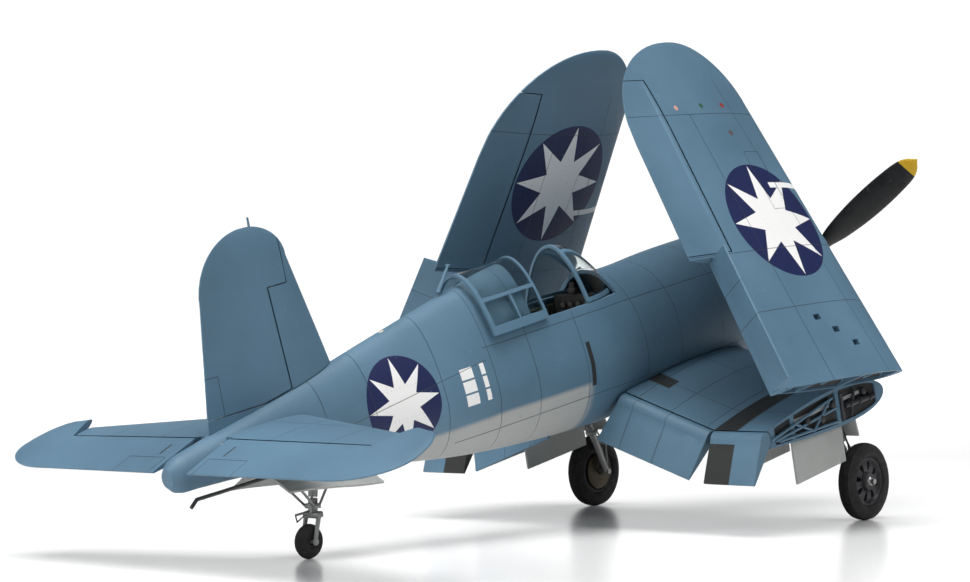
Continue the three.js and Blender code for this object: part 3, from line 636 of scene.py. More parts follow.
@dataclass(frozen=True)
class AircraftPaint:
    """Matt two-tone paint over moulded plastic, with panel lines, rivets, markings and light wear."""

    scheme: Scheme
    blue: Color = (0.078, 0.155, 0.225)
    gray: Color = (0.36, 0.37, 0.36)
    insignia: Color = (0.008, 0.014, 0.07)
    white: Color = (0.80, 0.80, 0.79)
    walkway: Color = (0.022, 0.023, 0.022)
    line: float = 0.11

    def seams(self, x: Wire, y: Wire, z: Wire) -> list[Wire]:
        """Gives the panel lines of the scheme as masks.

        Args:
            x: Drawing coordinate across, or along the span of a panel.
            y: Drawing coordinate aft, or along the chord.
            z: Drawing coordinate up.

        Returns:
            One mask for each line or set of lines.
        """
        half, soft = self.line, 0.09
        if self.scheme is Scheme.FUSELAGE:
            rings = [74.0, 92.0, 114.0, 131.0, 159.0, 181.0, 198.0, 219.0, 246.0, 264.0]
            lines = [y.near(at, half, soft) for at in rings]
            lines.append(z.near(12.6, half, soft) & y.within(60, 200))
            lines.append(z.near(-12.5, half, soft) & y.within(60, 216))
            lines.append((z - (y - 200.0) * -0.1).near(9.0, half, soft) & y.within(200, 292))
            return lines
        if self.scheme is Scheme.COWL:
            lines = [y.near(at, half, soft) for at in (25.5, 47.8)]
            lines.append(z.angle(x).bounce(math.pi / 3).below(0.006, 0.004) & y.above(25.5))
            return lines
        if self.scheme is Scheme.INNER_WING:
            lines = [x.size().near(at, half, soft) for at in (21.0, 33.0, 46.0, 58.0)]
            lines += [y.near(WING_FRONT + at, half, soft) for at in (13.0, 29.0, 52.0)]
            return lines
        if self.scheme in (Scheme.PANEL_UPPER_STAR, Scheme.PANEL_LOWER_STAR):
            lines = [x.near(at, half, soft) for at in (26.0, 47.0, 98.0)]
            lines.append((y - x * 0.083).near(14.0, half, soft) & x.below(112.0))
            lines.append((y - x * 0.01).near(44.0, half, soft) & x.below(98.0))
            lines.append(((x - 72.0).near(0.0, 11.0) & (y - 24.0).near(0.0, 4.0))
                         & ((x - 72.0).near(0.0, 10.8) & (y - 24.0).near(0.0, 3.8)).inverse())
            return lines
        if self.scheme is Scheme.FIN:
            tab = y.near(294.5, half, soft) & z.within(16.0, 27.0)
            return [tab, z.near(27.0, half, soft) & y.above(294.5)]
        if self.scheme is Scheme.TAILPLANE:
            lines = [x.size().near(at, half, soft) & y.below(ELEVATOR_HINGE) for at in (22.0, 44.0)]
            tab = y.near(309.5, half, soft) & x.size().within(9.0, 24.0)
            ends = (x.size().near(24.0, half, soft) | x.size().near(9.0, half, soft)) & y.above(309.5)
            return lines + [tab, ends, y.near(283.0, half, soft)]
        return [x.size().near(at, half, soft) for at in (22.0, 34.0)]

    def rivets(self, x: Wire, y: Wire, z: Wire) -> Wire:
        """Gives rows of rivet heads beside the panel lines as one mask."""
        along, across = (y, z) if self.scheme in (Scheme.FUSELAGE, Scheme.COWL, Scheme.FIN) else (x, y)
        pitch, rows = 1.6, 9.0
        spot = along.bounce(pitch / 2).hypot(across.bounce(rows / 2))
        return spot.below(0.16, 0.1)

    def wash(self, finish: Finish, color: bpy.types.NodeSocket | Color, x: Wire, y: Wire, z: Wire
             ) -> bpy.types.NodeSocket:
        """Lays the markings of the scheme over the base paint.

        Args:
            finish: The material.
            color: The base colour.
            x: Drawing coordinate across.
            y: Drawing coordinate aft.
            z: Drawing coordinate up.

        Returns:
            The marked colour.
        """
        if self.scheme is Scheme.FUSELAGE:
            u, v = y - 235.0, z - 4.3
            color = finish.mix(u.hypot(v).below(14.0), color, self.insignia)
            color = finish.mix(burst(u, v, 13.6), color, self.white)
            bars = (y.within(201.5, 203.3) | y.within(206.5, 211.5)) & z.within(-2.6, 8.6)
            gaps = (z.near(5.0, 0.3) | z.near(1.0, 0.3)).inverse()
            color = finish.mix(bars & gaps, color, self.white)
            color = finish.mix(y.within(155.9, 157.7) & z.within(-9.5, 4.5), color, self.walkway)
            spot = (y - 229.8).hypot(x).below(0.9)
            return finish.mix(spot & z.above(20.0), color, (0.55, 0.5, 0.42))
        if self.scheme is Scheme.PANEL_UPPER_STAR:
            u, v = x - 80.0, y - 36.0
            upper = z.above(0.4, 0.2)
            color = finish.mix(u.hypot(v).below(21.5) & upper, color, self.insignia)
            color = finish.mix(burst(u, v, 21.0) & upper, color, self.white)
            return finish.mix(x.near(68.5, 1.0) & y.within(3.0, 23.5) & upper, color, self.white)
        if self.scheme is Scheme.PANEL_LOWER_STAR:
            u, v = x - 57.0, y - 30.5
            lower = z.below(0.4, 0.2)
            color = finish.mix(u.hypot(v).below(21.0) & lower, color, self.insignia)
            color = finish.mix(burst(u, v, 20.5) & lower, color, self.white)
            color = finish.mix(x.near(70.0, 1.0) & y.within(3.0, 24.0) & lower, color, self.white)
            lamps = [((101.2, 25.8), (0.25, 0.03, 0.03)), ((101.2, 36.8), (0.03, 0.09, 0.05)),
                     ((100.7, 49.8), (0.5, 0.28, 0.24)), ((90.4, 29.1), (0.1, 0.06, 0.06))]
            for (s, c), tint in lamps:
                color = finish.mix((x - s).hypot(y - c).below(0.95) & lower, color, tint)
            return color
        if self.scheme is Scheme.INNER_WING:
            walk = x.size().within(49.0, 57.5) & y.within(84.0, 143.0) & z.above(-29.0, 0.3)
            top = (z + x.size() * 0.36).above(-13.2, 0.5)
            patch = x.size().within(14.0, 25.0) & y.within(125.0, 131.0) & top
            return finish.mix(walk | patch, color, self.walkway)
        if self.scheme is Scheme.WALK_FLAP:
            walk = x.size().within(49.8, 59.2) & y.above(145.8)
            return finish.mix(walk, color, self.walkway)
        if self.scheme is Scheme.TAILPLANE:
            stroke = x.size().near(13.0, 0.3) & y.within(303.0, 308.0) & z.above(TAILPLANE_Z)
            return finish.mix(stroke, color, self.walkway)
        return color

    def build(self) -> bpy.types.Material:
        """Makes the material."""
        finish = Finish(f"paint_{self.scheme.value}", 0.55)
        x, y, z = finish.plan()
        cloud = finish.noise(26, 5)
        streak = finish.noise(120, 3, (1, 0.25, 1))
        pale = tuple(min(1.0, c * 1.2 + 0.008) for c in self.blue)
        deep = tuple(c * 0.82 for c in self.blue)
        color = finish.mix(cloud.above(0.5, 0.5), deep, pale)
        color = finish.mix(streak.above(0.55, 0.35) * 0.22, color, pale)
        under = self.underside(x, y, z, cloud)
        if under is not None:
            color = finish.mix(under, color, self.gray)
        color = self.wash(finish, color, x, y, z)
        grooves = self.seams(x, y, z)
        seam = grooves[0]
        for groove in grooves[1:]:
            seam = seam | groove
        heads = self.rivets(x, y, z)
        color = finish.mix(seam * 0.72, color, (0.022, 0.035, 0.05))
        color = finish.mix(heads * 0.28, color, (0.05, 0.075, 0.1))
        chips = finish.noise(420, 2).above(0.73, 0.02) * 0.35
        color = finish.mix(chips, color, tuple(c * 1.45 for c in self.blue))
        grain = finish.noise(1500, 2) * 0.05
        relief = (seam * -1.0 - heads * 0.25 + grain) + 1.0
        return finish.close(color, relief, 0.00012, cloud * 0.16 + 0.42)

    def underside(self, x: Wire, y: Wire, z: Wire, cloud: Wire) -> Wire | None:
        """Gives the mask of the light gray belly, where the scheme has one."""
        edge = (cloud - 0.5) * 1.6
        if self.scheme is Scheme.FUSELAGE:
            step = (y - 160.0) * 0.012 + -8.6
            return (z + edge).below(step, 1.4) & y.above(158.0, 4.0)
        if self.scheme is Scheme.TAILPLANE:
            return z.below(TAILPLANE_Z - 0.7, 0.4)
        if self.scheme is Scheme.INNER_WING:
            return (z - x.size() * -0.46).below(-13.4, 0.6) & x.size().below(47.0, 2.0)
        return None


@dataclass(frozen=True)
class PlainFinish:
    """A finish with grain and colour variation but no markings."""

    name: str
    color: Color
    roughness: float
    metallic: float = 0.0
    grain: float = 700.0
    contrast: float = 0.25
    depth: float = 0.00004
    wear: Color | None = None

    def build(self) -> bpy.types.Material:
        """Makes the material: mottled colour, fine relief, and rubbed spots where it has wear."""
        finish = Finish(self.name, self.roughness, self.metallic)
        mottle = finish.noise(self.grain * 0.12, 5)
        light = tuple(min(1.0, c * (1 + self.contrast) + 0.004) for c in self.color)
        dark = tuple(c * (1 - self.contrast) for c in self.color)
        color = finish.mix(mottle.above(0.5, 0.45), dark, light)
        if self.wear:
            rubbed = finish.noise(self.grain * 0.6, 3).above(0.66, 0.04) * 0.6
            color = finish.mix(rubbed, color, self.wear)
        rough = mottle * 0.2 + (self.roughness - 0.1)
        return finish.close(color, finish.noise(self.grain, 3), self.depth, rough)


@dataclass(frozen=True)
class BladePaint:
    """Satin black propeller paint with yellow tips."""

    tip: float = PROP_RADIUS - 5.6

    def build(self) -> bpy.types.Material:
        """Makes the material."""
        finish = Finish("propeller_paint", 0.4)
        x, _, z = finish.plan()
        mottle = finish.noise(160, 5)
        color = finish.mix(mottle.above(0.5, 0.4), (0.008, 0.008, 0.008), (0.018, 0.018, 0.019))
        scuffs = finish.noise(500, 3).above(0.69, 0.03) * 0.4
        color = finish.mix(scuffs, color, (0.09, 0.09, 0.09))
        color = finish.mix(x.hypot(z).above(self.tip, 0.1), color, (0.62, 0.38, 0.02))
        return finish.close(color, finish.noise(900, 2), 0.00003, mottle * 0.2 + 0.32)


@dataclass(frozen=True)
class ClearGlazing:
    """Thin clear plastic with a faint smoky tint."""

    def build(self) -> bpy.types.Material:
        """Makes the material."""
        finish = Finish("clear_glazing", 0.04)
        shader = finish.shader
        shader.inputs["Transmission Weight"].default_value = 1.0
        shader.inputs["IOR"].default_value = 1.25
        haze = finish.noise(60, 3)
        color = finish.mix(haze.above(0.5, 0.5), (0.83, 0.88, 0.88), (0.93, 0.96, 0.96))
        return finish.close(color)


@dataclass(frozen=True)
class TyreRubber:
    """Matt rubber, dusty on the tread."""

    def build(self) -> bpy.types.Material:
        """Makes the material."""
        finish = Finish("tyre_rubber", 0.8)
        dust = finish.noise(220, 5)
        color = finish.mix(dust.above(0.5, 0.4), (0.012, 0.012, 0.013), (0.032, 0.031, 0.031))
        color = finish.mix(finish.noise(900, 2).above(0.64, 0.08) * 0.35, color, (0.08, 0.075, 0.07))
        return finish.close(color, finish.noise(1600, 3), 0.00005, dust * 0.2 + 0.68)


class Paintbox:
    """Every finish, each made once when it is first asked for."""

    def __init__(self) -> None:
        """Starts with no finish made."""
        self.made: dict[str, bpy.types.Material] = {}
        gray = (0.36, 0.37, 0.36)
        self.recipes: dict[str, object] = {
            **{s.value: AircraftPaint(s) for s in Scheme},
            "pale": PlainFinish("pale_gray_paint", gray, 0.5, grain=500, contrast=0.1, wear=(0.3, 0.31, 0.3)),
            "steel": PlainFinish("bare_steel", (0.45, 0.45, 0.44), 0.32, 0.9, 900, 0.2),
            "alloy": PlainFinish("gear_metal", (0.26, 0.265, 0.26), 0.42, 0.55, 800, 0.25,
                                 wear=(0.5, 0.5, 0.48)),
            "dark": PlainFinish("dark_fittings", (0.03, 0.034, 0.038), 0.5, 0.2, 700, 0.35,
                                wear=(0.12, 0.13, 0.14)),
            "interior": PlainFinish("interior_green", (0.024, 0.034, 0.022), 0.6, 0.0, 600, 0.3,
                                    wear=(0.09, 0.1, 0.08)),
            "black": PlainFinish("matt_black", (0.012, 0.012, 0.012), 0.6, 0.0, 700, 0.4,
                                 wear=(0.05, 0.05, 0.05)),
            "engine": PlainFinish("engine_metal", (0.1, 0.1, 0.098), 0.42, 0.7, 700, 0.35,
                                  wear=(0.28, 0.27, 0.25)),
            "gearbox": PlainFinish("gearbox_gray", (0.17, 0.19, 0.2), 0.45, 0.2, 500, 0.2),
            "hub": PlainFinish("wheel_hub_gray", (0.055, 0.054, 0.06), 0.45, 0.3, 700, 0.25,
                               wear=(0.16, 0.16, 0.16)),
            "bronze": PlainFinish("brake_bronze", (0.09, 0.075, 0.05), 0.4, 0.7, 700, 0.3),
            "belt": PlainFinish("harness_webbing", (0.3, 0.26, 0.19), 0.8, 0.0, 1800, 0.2, 0.0001),
            "dial": PlainFinish("dial_faces", (0.07, 0.07, 0.065), 0.3, 0.0, 900, 0.3),
            "wrap": PlainFinish("shrink_wrap", (0.03, 0.05, 0.12), 0.3, 0.0, 400, 0.2),
            "board": PlainFinish("circuit_board", (0.02, 0.07, 0.035), 0.4, 0.0, 900, 0.3),
            "lamp_red": PlainFinish("red_lamp", (0.3, 0.01, 0.01), 0.12, 0.0, 500, 0.1),
            "lamp_green": PlainFinish("green_lamp", (0.01, 0.12, 0.04), 0.12, 0.0, 500, 0.1),
            "lens": PlainFinish("clear_lens", (0.55, 0.55, 0.5), 0.1, 0.0, 500, 0.1),
            "blade": BladePaint(),
            "glass": ClearGlazing(),
            "rubber": TyreRubber(),
        }

    def get(self, name: str) -> bpy.types.Material:
        """Gives a finish by name, and makes it if it isn't made yet."""
        if name not in self.made:
            self.made[name] = self.recipes[name].build()
        return self.made[name]


PAINTS = Paintbox()


def finish_piece(obj: bpy.types.Object, name: str, body: str, paint: str,
                 nodes: Iterable[str] = (), place: Matrix | None = None, smooth: float = 32
                 ) -> bpy.types.Object:
    """Keeps a piece's drawing coordinates, stands it in the row frame, and dresses it.

    Args:
        obj: The piece, in its drawing frame.
        name: Its name.
        body: The body it rides on.
        paint: Its finish.
        nodes: The frame's nodes that it stands for.
        place: The matrix from its drawing frame to the air frame.
        smooth: Edges under this many degrees are shaded smooth.

    Returns:
        The finished piece.
    """
    obj.name = name
    obj.data.name = name
    plan = obj.data.attributes.get("plan") or obj.data.attributes.new("plan", "FLOAT_VECTOR", "POINT")
    plan.data.foreach_set("vector", [c for v in obj.data.vertices for c in v.co])
    moved(obj, STANCE @ (place or Matrix.Identity(4)))
    obj.data.materials.clear()
    obj.data.materials.append(PAINTS.get(paint))
    pick(obj)
    bpy.ops.object.shade_smooth_by_angle(angle=math.radians(smooth))
    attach(obj, body)
    if nodes:
        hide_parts(*nodes)
    LOG.info("%s: %d faces, rides on %s", name, len(obj.data.polygons), body)
    return obj


def airfoil(nose: Sequence[float], chord: float, thickness: float, camber: float, chord_way: Vector,
            up_way: Vector, half: int = 26) -> list[Vector]:
    """Draws a closed ring round an airfoil.

    Args:
        nose: The leading edge point.
        chord: The chord.
        thickness: Thickness as a share of the chord.
        camber: Camber as a share of the chord.
        chord_way: The direction aft along the chord.
        up_way: The direction of the thickness.
        half: How many points each surface has.

    Returns:
        The ring's points.
    """
    ring = []
    for i in range(-half, half + 1):
        u = (1 - math.cos(math.pi * abs(i) / half)) / 2
        sign = (i > 0) - (i < 0)
        side = sign * (5 * thickness * bulk_at(u) * chord + 0.18 * u)
        lift = 4 * camber * u * (1 - u) * chord
        ring.append(Vector(nose) + chord_way * (u * chord) + up_way * (side + lift))
    return ring


def bulk_at(u: float) -> float:
    """Gives an airfoil's thickness shape at a share of its chord."""
    return 0.2969 * math.sqrt(u) - 0.126 * u - 0.3516 * u * u + 0.2843 * u ** 3 - 0.1015 * u ** 4


def core_at(chord: float, thickness: float, camber: float, distance: float) -> tuple[float, float]:
    """Gives an airfoil's middle height and half thickness at a distance behind its nose."""
    u = distance / chord
    return 4 * camber * u * (1 - u) * chord, 5 * thickness * bulk_at(u) * chord + 0.18 * u + 0.06


AFT, UP, OUT = Vector((0, 1, 0)), Vector((0, 0, 1)), Vector((1, 0, 0))


@dataclass(frozen=True)
class HingeLine:
    """A hinge between two points, with the round nose that turns in it.

    The radii are the nose's radius at even steps from the start to the end.
    """

    start: Vector
    end: Vector
    radii: tuple[float, ...]
    thick: Vector = UP

    @property
    def along(self) -> Vector:
        """The hinge's direction."""
        return (self.end - self.start).normalized()

    @property
    def length(self) -> float:
        """The hinge's length."""
        return (self.end - self.start).length

    def at(self, s: float) -> Vector:
        """The point at a distance along the hinge."""
        return self.start + self.along * s

    def radius_at(self, s: float) -> float:
        """The nose's radius at a distance along the hinge."""
        count = len(self.radii) - 1
        place = s / self.length * count
        i = min(count - 1, max(0, math.floor(place)))
        return self.radii[i] + (self.radii[i + 1] - self.radii[i]) * (place - i)

    def nose(self, grow: float, a: float, b: float) -> bpy.types.Object:
        """The round nose from a to b, grown by a clearance."""
        side, up = self.along.cross(AFT).normalized(), AFT
        rings = []
        for s in steps(a, b, 2 * len(self.radii)):
            reach = self.radius_at(s) + grow
            turns = [math.tau * (i + 0.5) / 36 for i in range(36)]
            rings.append([self.at(s) + (side * math.cos(t) + up * math.sin(t)) * reach for t in turns])
        return loft(rings)

    def slab(self, a: float, b: float) -> bpy.types.Object:
        """Everything behind the hinge from a to b."""
        corners = ((0, -1), (1, -1), (1, 1), (0, 1))
        rings = [[self.at(s) + AFT * (back * 90) + self.thick * (side * 12) for back, side in corners]
                 for s in (a, b)]
        return loft(rings)

    def split(self, surface: bpy.types.Object, notch: Sequence[float], part: Sequence[float],
              horn: bpy.types.Object | None = None) -> bpy.types.Object:
        """Splits a surface at the hinge, and leaves the fixed part in it.

        Args:
            surface: The whole surface, which becomes the fixed part.
            notch: Where the fixed part is cut away, as distances along the hinge.
            part: Where the moving part runs.
            horn: More room that the moving part takes up, ahead of the hinge.

        Returns:
            The moving part.
        """
        moving = duplicate(surface)
        room = self.slab(*part)
        if horn:
            fuse(room, horn)
        keep(moving, room)
        fuse(moving, self.nose(0, *part))
        cut(surface, self.slab(*notch), self.nose(GAP, *notch))
        return moving


# ------------------------------------------------------------------ fuselage
STATIONS: tuple[Row, ...] = (
    (59, 22.4, -22.5, 22.0, 0, 2), (95, 22.5, -24.6, 21.0, -1, 2), (125, 21.8, -25.5, 19.2, -2.5, 1.9),
    (136, 24.0, -25.4, 18.6, -2.5, 1.5), (150, 33.4, -25.0, 17.5, -2.5, 1.25),
    (176, 33.6, -23.0, 15.6, -2, 1.25), (205, 29.1, -19.5, 13.4, -1, 1.3), (230, 24.7, -14.9, 11.0, 1, 1.4),
    (250, 21.1, -10.6, 9.2, 3, 1.6), (270, 17.5, -5.8, 7.6, 4.5, 1.8), (290, 13.9, -2.2, 6.1, 5, 2),
    (308, 10.7, -0.6, 4.8, 4.8, 2), (315, 9.3, 0.0, 4.0, 4.6, 2), (317.5, 7.2, 2.0, 2.2, 4.5, 2),
)


def fuselage_body(start: float, end: float, count: int, offset: float, around: int = 72) -> bpy.types.Object:
    """Skins the fuselage between two stations.

    Args:
        start: Its front.
        end: Its back.
        count: How many steps it takes.
        offset: How far it is grown outwards.
        around: How many points each ring has.

    Returns:
        The closed body.
    """
    rings = []
    for y in steps(start, end, count):
        top, bottom, half, wide, full = (smooth_at(STATIONS, y, c) for c in (1, 2, 3, 4, 5))
        ring = []
        for i in range(around):
            angle = 2 * math.pi * i / around
            up, sign = math.cos(angle), math.copysign(1, math.sin(angle))
            height = (top - wide if up > 0 else wide - bottom) + offset
            across = math.sqrt(max(0.0, 1 - abs(up) ** (full if up > 0 else 2.2)))
            ring.append((sign * across * (half + offset), y, wide + up * height))
        rings.append(ring)
    return loft(rings)


def tail_cone(offset: float) -> bpy.types.Object:
    """Skins the fuselage under the tail surfaces, grown by an offset."""
    return fuselage_body(240, FUSELAGE_BACK, 40, offset, 60)


@dataclass
class Fuselage:
    """The fuselage shell, the nose, and what they hold."""

    cockpit: tuple[float, float] = COCKPIT
    inner_end: float = 292.0
    cowl_radius: float = 22.4
    cylinders: int = 9
    fins: int = 9

    def build(self) -> None:
        """Makes every piece of the fuselage."""
        self.shell()
        self.cowl()
        self.engine()
        self.inside()

    def shell(self) -> None:
        """Makes the outer skin, open at the cockpit and the tail-gear bay."""
        skin = fuselage_body(FUSELAGE_FRONT, FUSELAGE_BACK, 130, 0)
        cut(skin, fuselage_body(58, self.inner_end, 90, -SKIN, 48))
        cut(skin, box((-30, 30), self.cockpit, (SILL, 60)))
        cut(skin, box((-4.6, 4.6), (251, 280), (-20, -1)))
        finish_piece(skin, "fuselage_shell", "airframe", "fuselage",
                     ("fuselage_port_half", "fuselage_starboard_half"))

    def cowl(self) -> None:
        """Makes the cowl and the ring of flaps behind it."""
        r = self.cowl_radius
        outline = [(r, 52), (r, 34), (22.1, 28), (21.6, 25), (21.0, 22.5), (20.2, 20.4), (19.2, 19),
                   (18.2, 18.3), (17.3, 18.5), (16.8, 19.6), (16.6, 21), (17.3, 24), (18.4, 27), (20.6, 34),
                   (21.2, 52), (r, 52)]
        finish_piece(turned(outline, 128), "cowl", "airframe", "cowl", ("engine_cowl",),
                     smooth=40)
        flaps = turned([(r, 52 + GAP), (23, 58.5), (22.2, 58.5), (21.3, 52 + GAP), (r, 52 + GAP)], 96)
        slits = []
        for i in range(16):
            slit = box((-0.18, 0.18), (53.4, 60), (20, 25))
            slits.append(moved(slit, Matrix.Rotation(math.tau * (i + 0.5) / 16, 4, "Y")))
        cut(flaps, gather(slits))
        finish_piece(flaps, "cowl_flaps", "airframe", "plain", ("cowl_flap_ring",), smooth=40)

    def engine(self) -> None:
        """Makes the crankcase, the finned cylinders, their push-rod tubes and the magnetos."""
        nose = [(1.85, 17.2), (3.4, 17.2), (4.6, 18.2), (5.6, 20), (6.3, 22), (6.6, 24), (6.6, 38),
                (1.85, 38), (1.85, 17.2)]
        parts = [turned(nose, 64)]
        for i in range(3):
            turn = Matrix.Rotation(math.tau * i / 3 + 0.5, 4, "Y")
            parts.append(moved(bar((0, 18.6, 5.3), (0, 22.4, 5.3), 1.0, sides=16, bevel=0.2), turn))
        finish_piece(gather(parts), "crankcase", "airframe", "gearbox", ("dummy_engine",))
        jugs: list[bpy.types.Object] = []
        for i in range(self.cylinders):
            turn = Matrix.Rotation(math.tau * i / self.cylinders, 4, "Y")
            jug = [bar((0, 28, 5), (0, 28, 14.6), 2.5, sides=20),
                   bar((0, 28, 14.4), (0, 28, 15.7), 2.7, 2.2, 20)]
            for k in range(self.fins):
                z = 7.0 + 0.86 * k
                jug.append(bar((0, 28, z), (0, 28, z + 0.36), 3.25, sides=20))
            for x in (-1.5, 1.5):
                jug.append(bar((x * 0.7, 24.6, 5.6), (x, 25.2, 14.6), 0.36, sides=8))
            jugs.append(moved(gather(jug), turn))
        finish_piece(gather(jugs), "cylinders", "airframe", "engine")

    def inside(self) -> None:
        """Makes the motor, battery, receiver, servos, firewall and spar."""
        can = turned([(1.85, 38.4), (4, 38.4), (8.4, 39), (9, 39.8), (9, 57.6), (8.4, 58.4), (0.0, 58.4),
                      (0.0, 43.4), (1.85, 43.4), (1.85, 38.4)], 48)
        finish_piece(can, "motor_can_shell", "airframe", "steel", ("motor",))
        pack = box((-7, 7), (64, 94), (-14, -4), 1.2)
        finish_piece(pack, "battery_pack", "airframe", "wrap", ("battery",))
        board = [box((-9, 9), (66, 92), (0, 0.9), 0.1), box((-5, 1), (70, 78), (0.9, 2.2), 0.15),
                 box((2.5, 7), (72, 88), (0.9, 3), 0.2), box((-7, -3), (81, 88), (0.9, 2.6), 0.2)]
        finish_piece(gather(board), "receiver_with_chips", "airframe", "board",
                     ("receiver_board",))
        for label, side in (("elevator_servo", 1), ("rudder_servo", -1)):
            near, far = sorted((2 * side, 9 * side))
            servo = [box((near, far), (182, 198), (-8, -2.4), 0.4),
                     bar(((near + far) / 2, 186, -2.4), ((near + far) / 2, 186, -1.2), 2.2, bevel=0.2),
                     box((near + 1.5, far - 1.5), (185, 192), (-1.2, -0.5), 0.2)]
            finish_piece(gather(servo), f"{label}_case", "airframe", "black", (label,))
        for node, paint, slot in (("firewall", "interior", "cockpit_green"),
                                  ("wing_spar", "black", "cockpit_black")):
            carry_over(node, paint)


def carry_over(node: str, paint: str) -> None:
    """Gives a frame node that already has its true shape a worked finish.

    Args:
        node: The node.
        paint: Its finish.
    """
    obj = frame["nodes"][node]
    obj.data.materials.clear()
    obj.data.materials.append(PAINTS.get(paint))
    LOG.info("%s: kept from the frame", node)


@dataclass
class Propeller:
    """Three blades, their hub and the shaft."""

    blades: int = 3
    stations: tuple[Row, ...] = ((3, 3.2, 2.6, 60), (10, 4.4, 2.4, 55), (20, 8.6, 1.9, 44),
                                 (36, 10.6, 1.4, 33),
                                 (54, 9.2, 1, 25), (61, 6, 0.7, 22), (PROP_RADIUS, 1.6, 0.5, 21))

    def blade(self) -> bpy.types.Object:
        """Makes one blade, pointing up."""
        rings = []
        for radius in steps(3, PROP_RADIUS, 56):
            chord, thick, pitch = (smooth_at(self.stations, radius, c) for c in (1, 2, 3))
            tip = max(0.0, (radius - 57) / (PROP_RADIUS - 57))
            chord *= math.sqrt(max(0.03, 1 - tip ** 2.4)) if radius > 57 else 1
            turn = math.radians(pitch)
            ring = []
            for i in range(28):
                angle = math.tau * i / 28
                c, t = math.cos(angle) * chord / 2, math.sin(angle) * thick / 2
                ring.append((c * math.cos(turn) - t * math.sin(turn),
                             PROP_PLANE + c * math.sin(turn) + t * math.cos(turn), radius))
            rings.append(ring)
        return loft(rings)

    def build(self) -> None:
        """Makes the propeller, the hub's dome and the shaft."""
        parts = []
        for i in range(self.blades):
            turn = -math.radians(FIRST_BLADE - 360 * i / self.blades)
            parts.append(moved(self.blade(), Matrix.Rotation(turn, 4, "Y")))
            cuff = bar((0, PROP_PLANE, 3.4), (0, PROP_PLANE, 7.4), 2.3, 1.9, 28, 0.2)
            parts.append(moved(cuff, Matrix.Rotation(turn, 4, "Y")))
        finish_piece(gather(parts), "propeller_blades", "propeller", "blade",
                     ("propeller",))
        hub = turned([(1.85, 7), (4.2, 7), (4.8, 7.6), (5, 8.2), (5, 13.2), (4.6, 14.3), (4, 14.8),
                      (1.85, 14.8), (1.85, 7)], 64)
        finish_piece(hub, "propeller_hub", "propeller", "dark")
        dome = turned([(0, 0), (0.9, 0.08), (1.6, 0.3), (2.4, 0.9), (2.9, 1.6), (3.3, 2.7), (3.5, 4),
                       (3.7, 6.65), (0, 6.65)], 48)
        finish_piece(dome, "hub_dome", "propeller", "dark", ("propeller_hub_dome",), smooth=40)
        carry_over("propeller_shaft", "steel")


# ------------------------------------------------------------------ cockpit
def hoop(y: float, half: float, top: float, offset: float = 0.0, around: int = 72) -> list[Point]:
    """Draws the hooped section over the cockpit."""
    ring, base = [], -2.0
    for i in range(around):
        angle = math.tau * i / around
        up, sign = math.cos(angle), math.copysign(1, math.sin(angle))
        height = top - base + offset if up > 0 else 10
        across = math.sqrt(max(0.0, 1 - abs(up) ** (1.25 if up > 0 else 2)))
        ring.append((sign * across * (half + offset), y, base + up * height))
    return ring


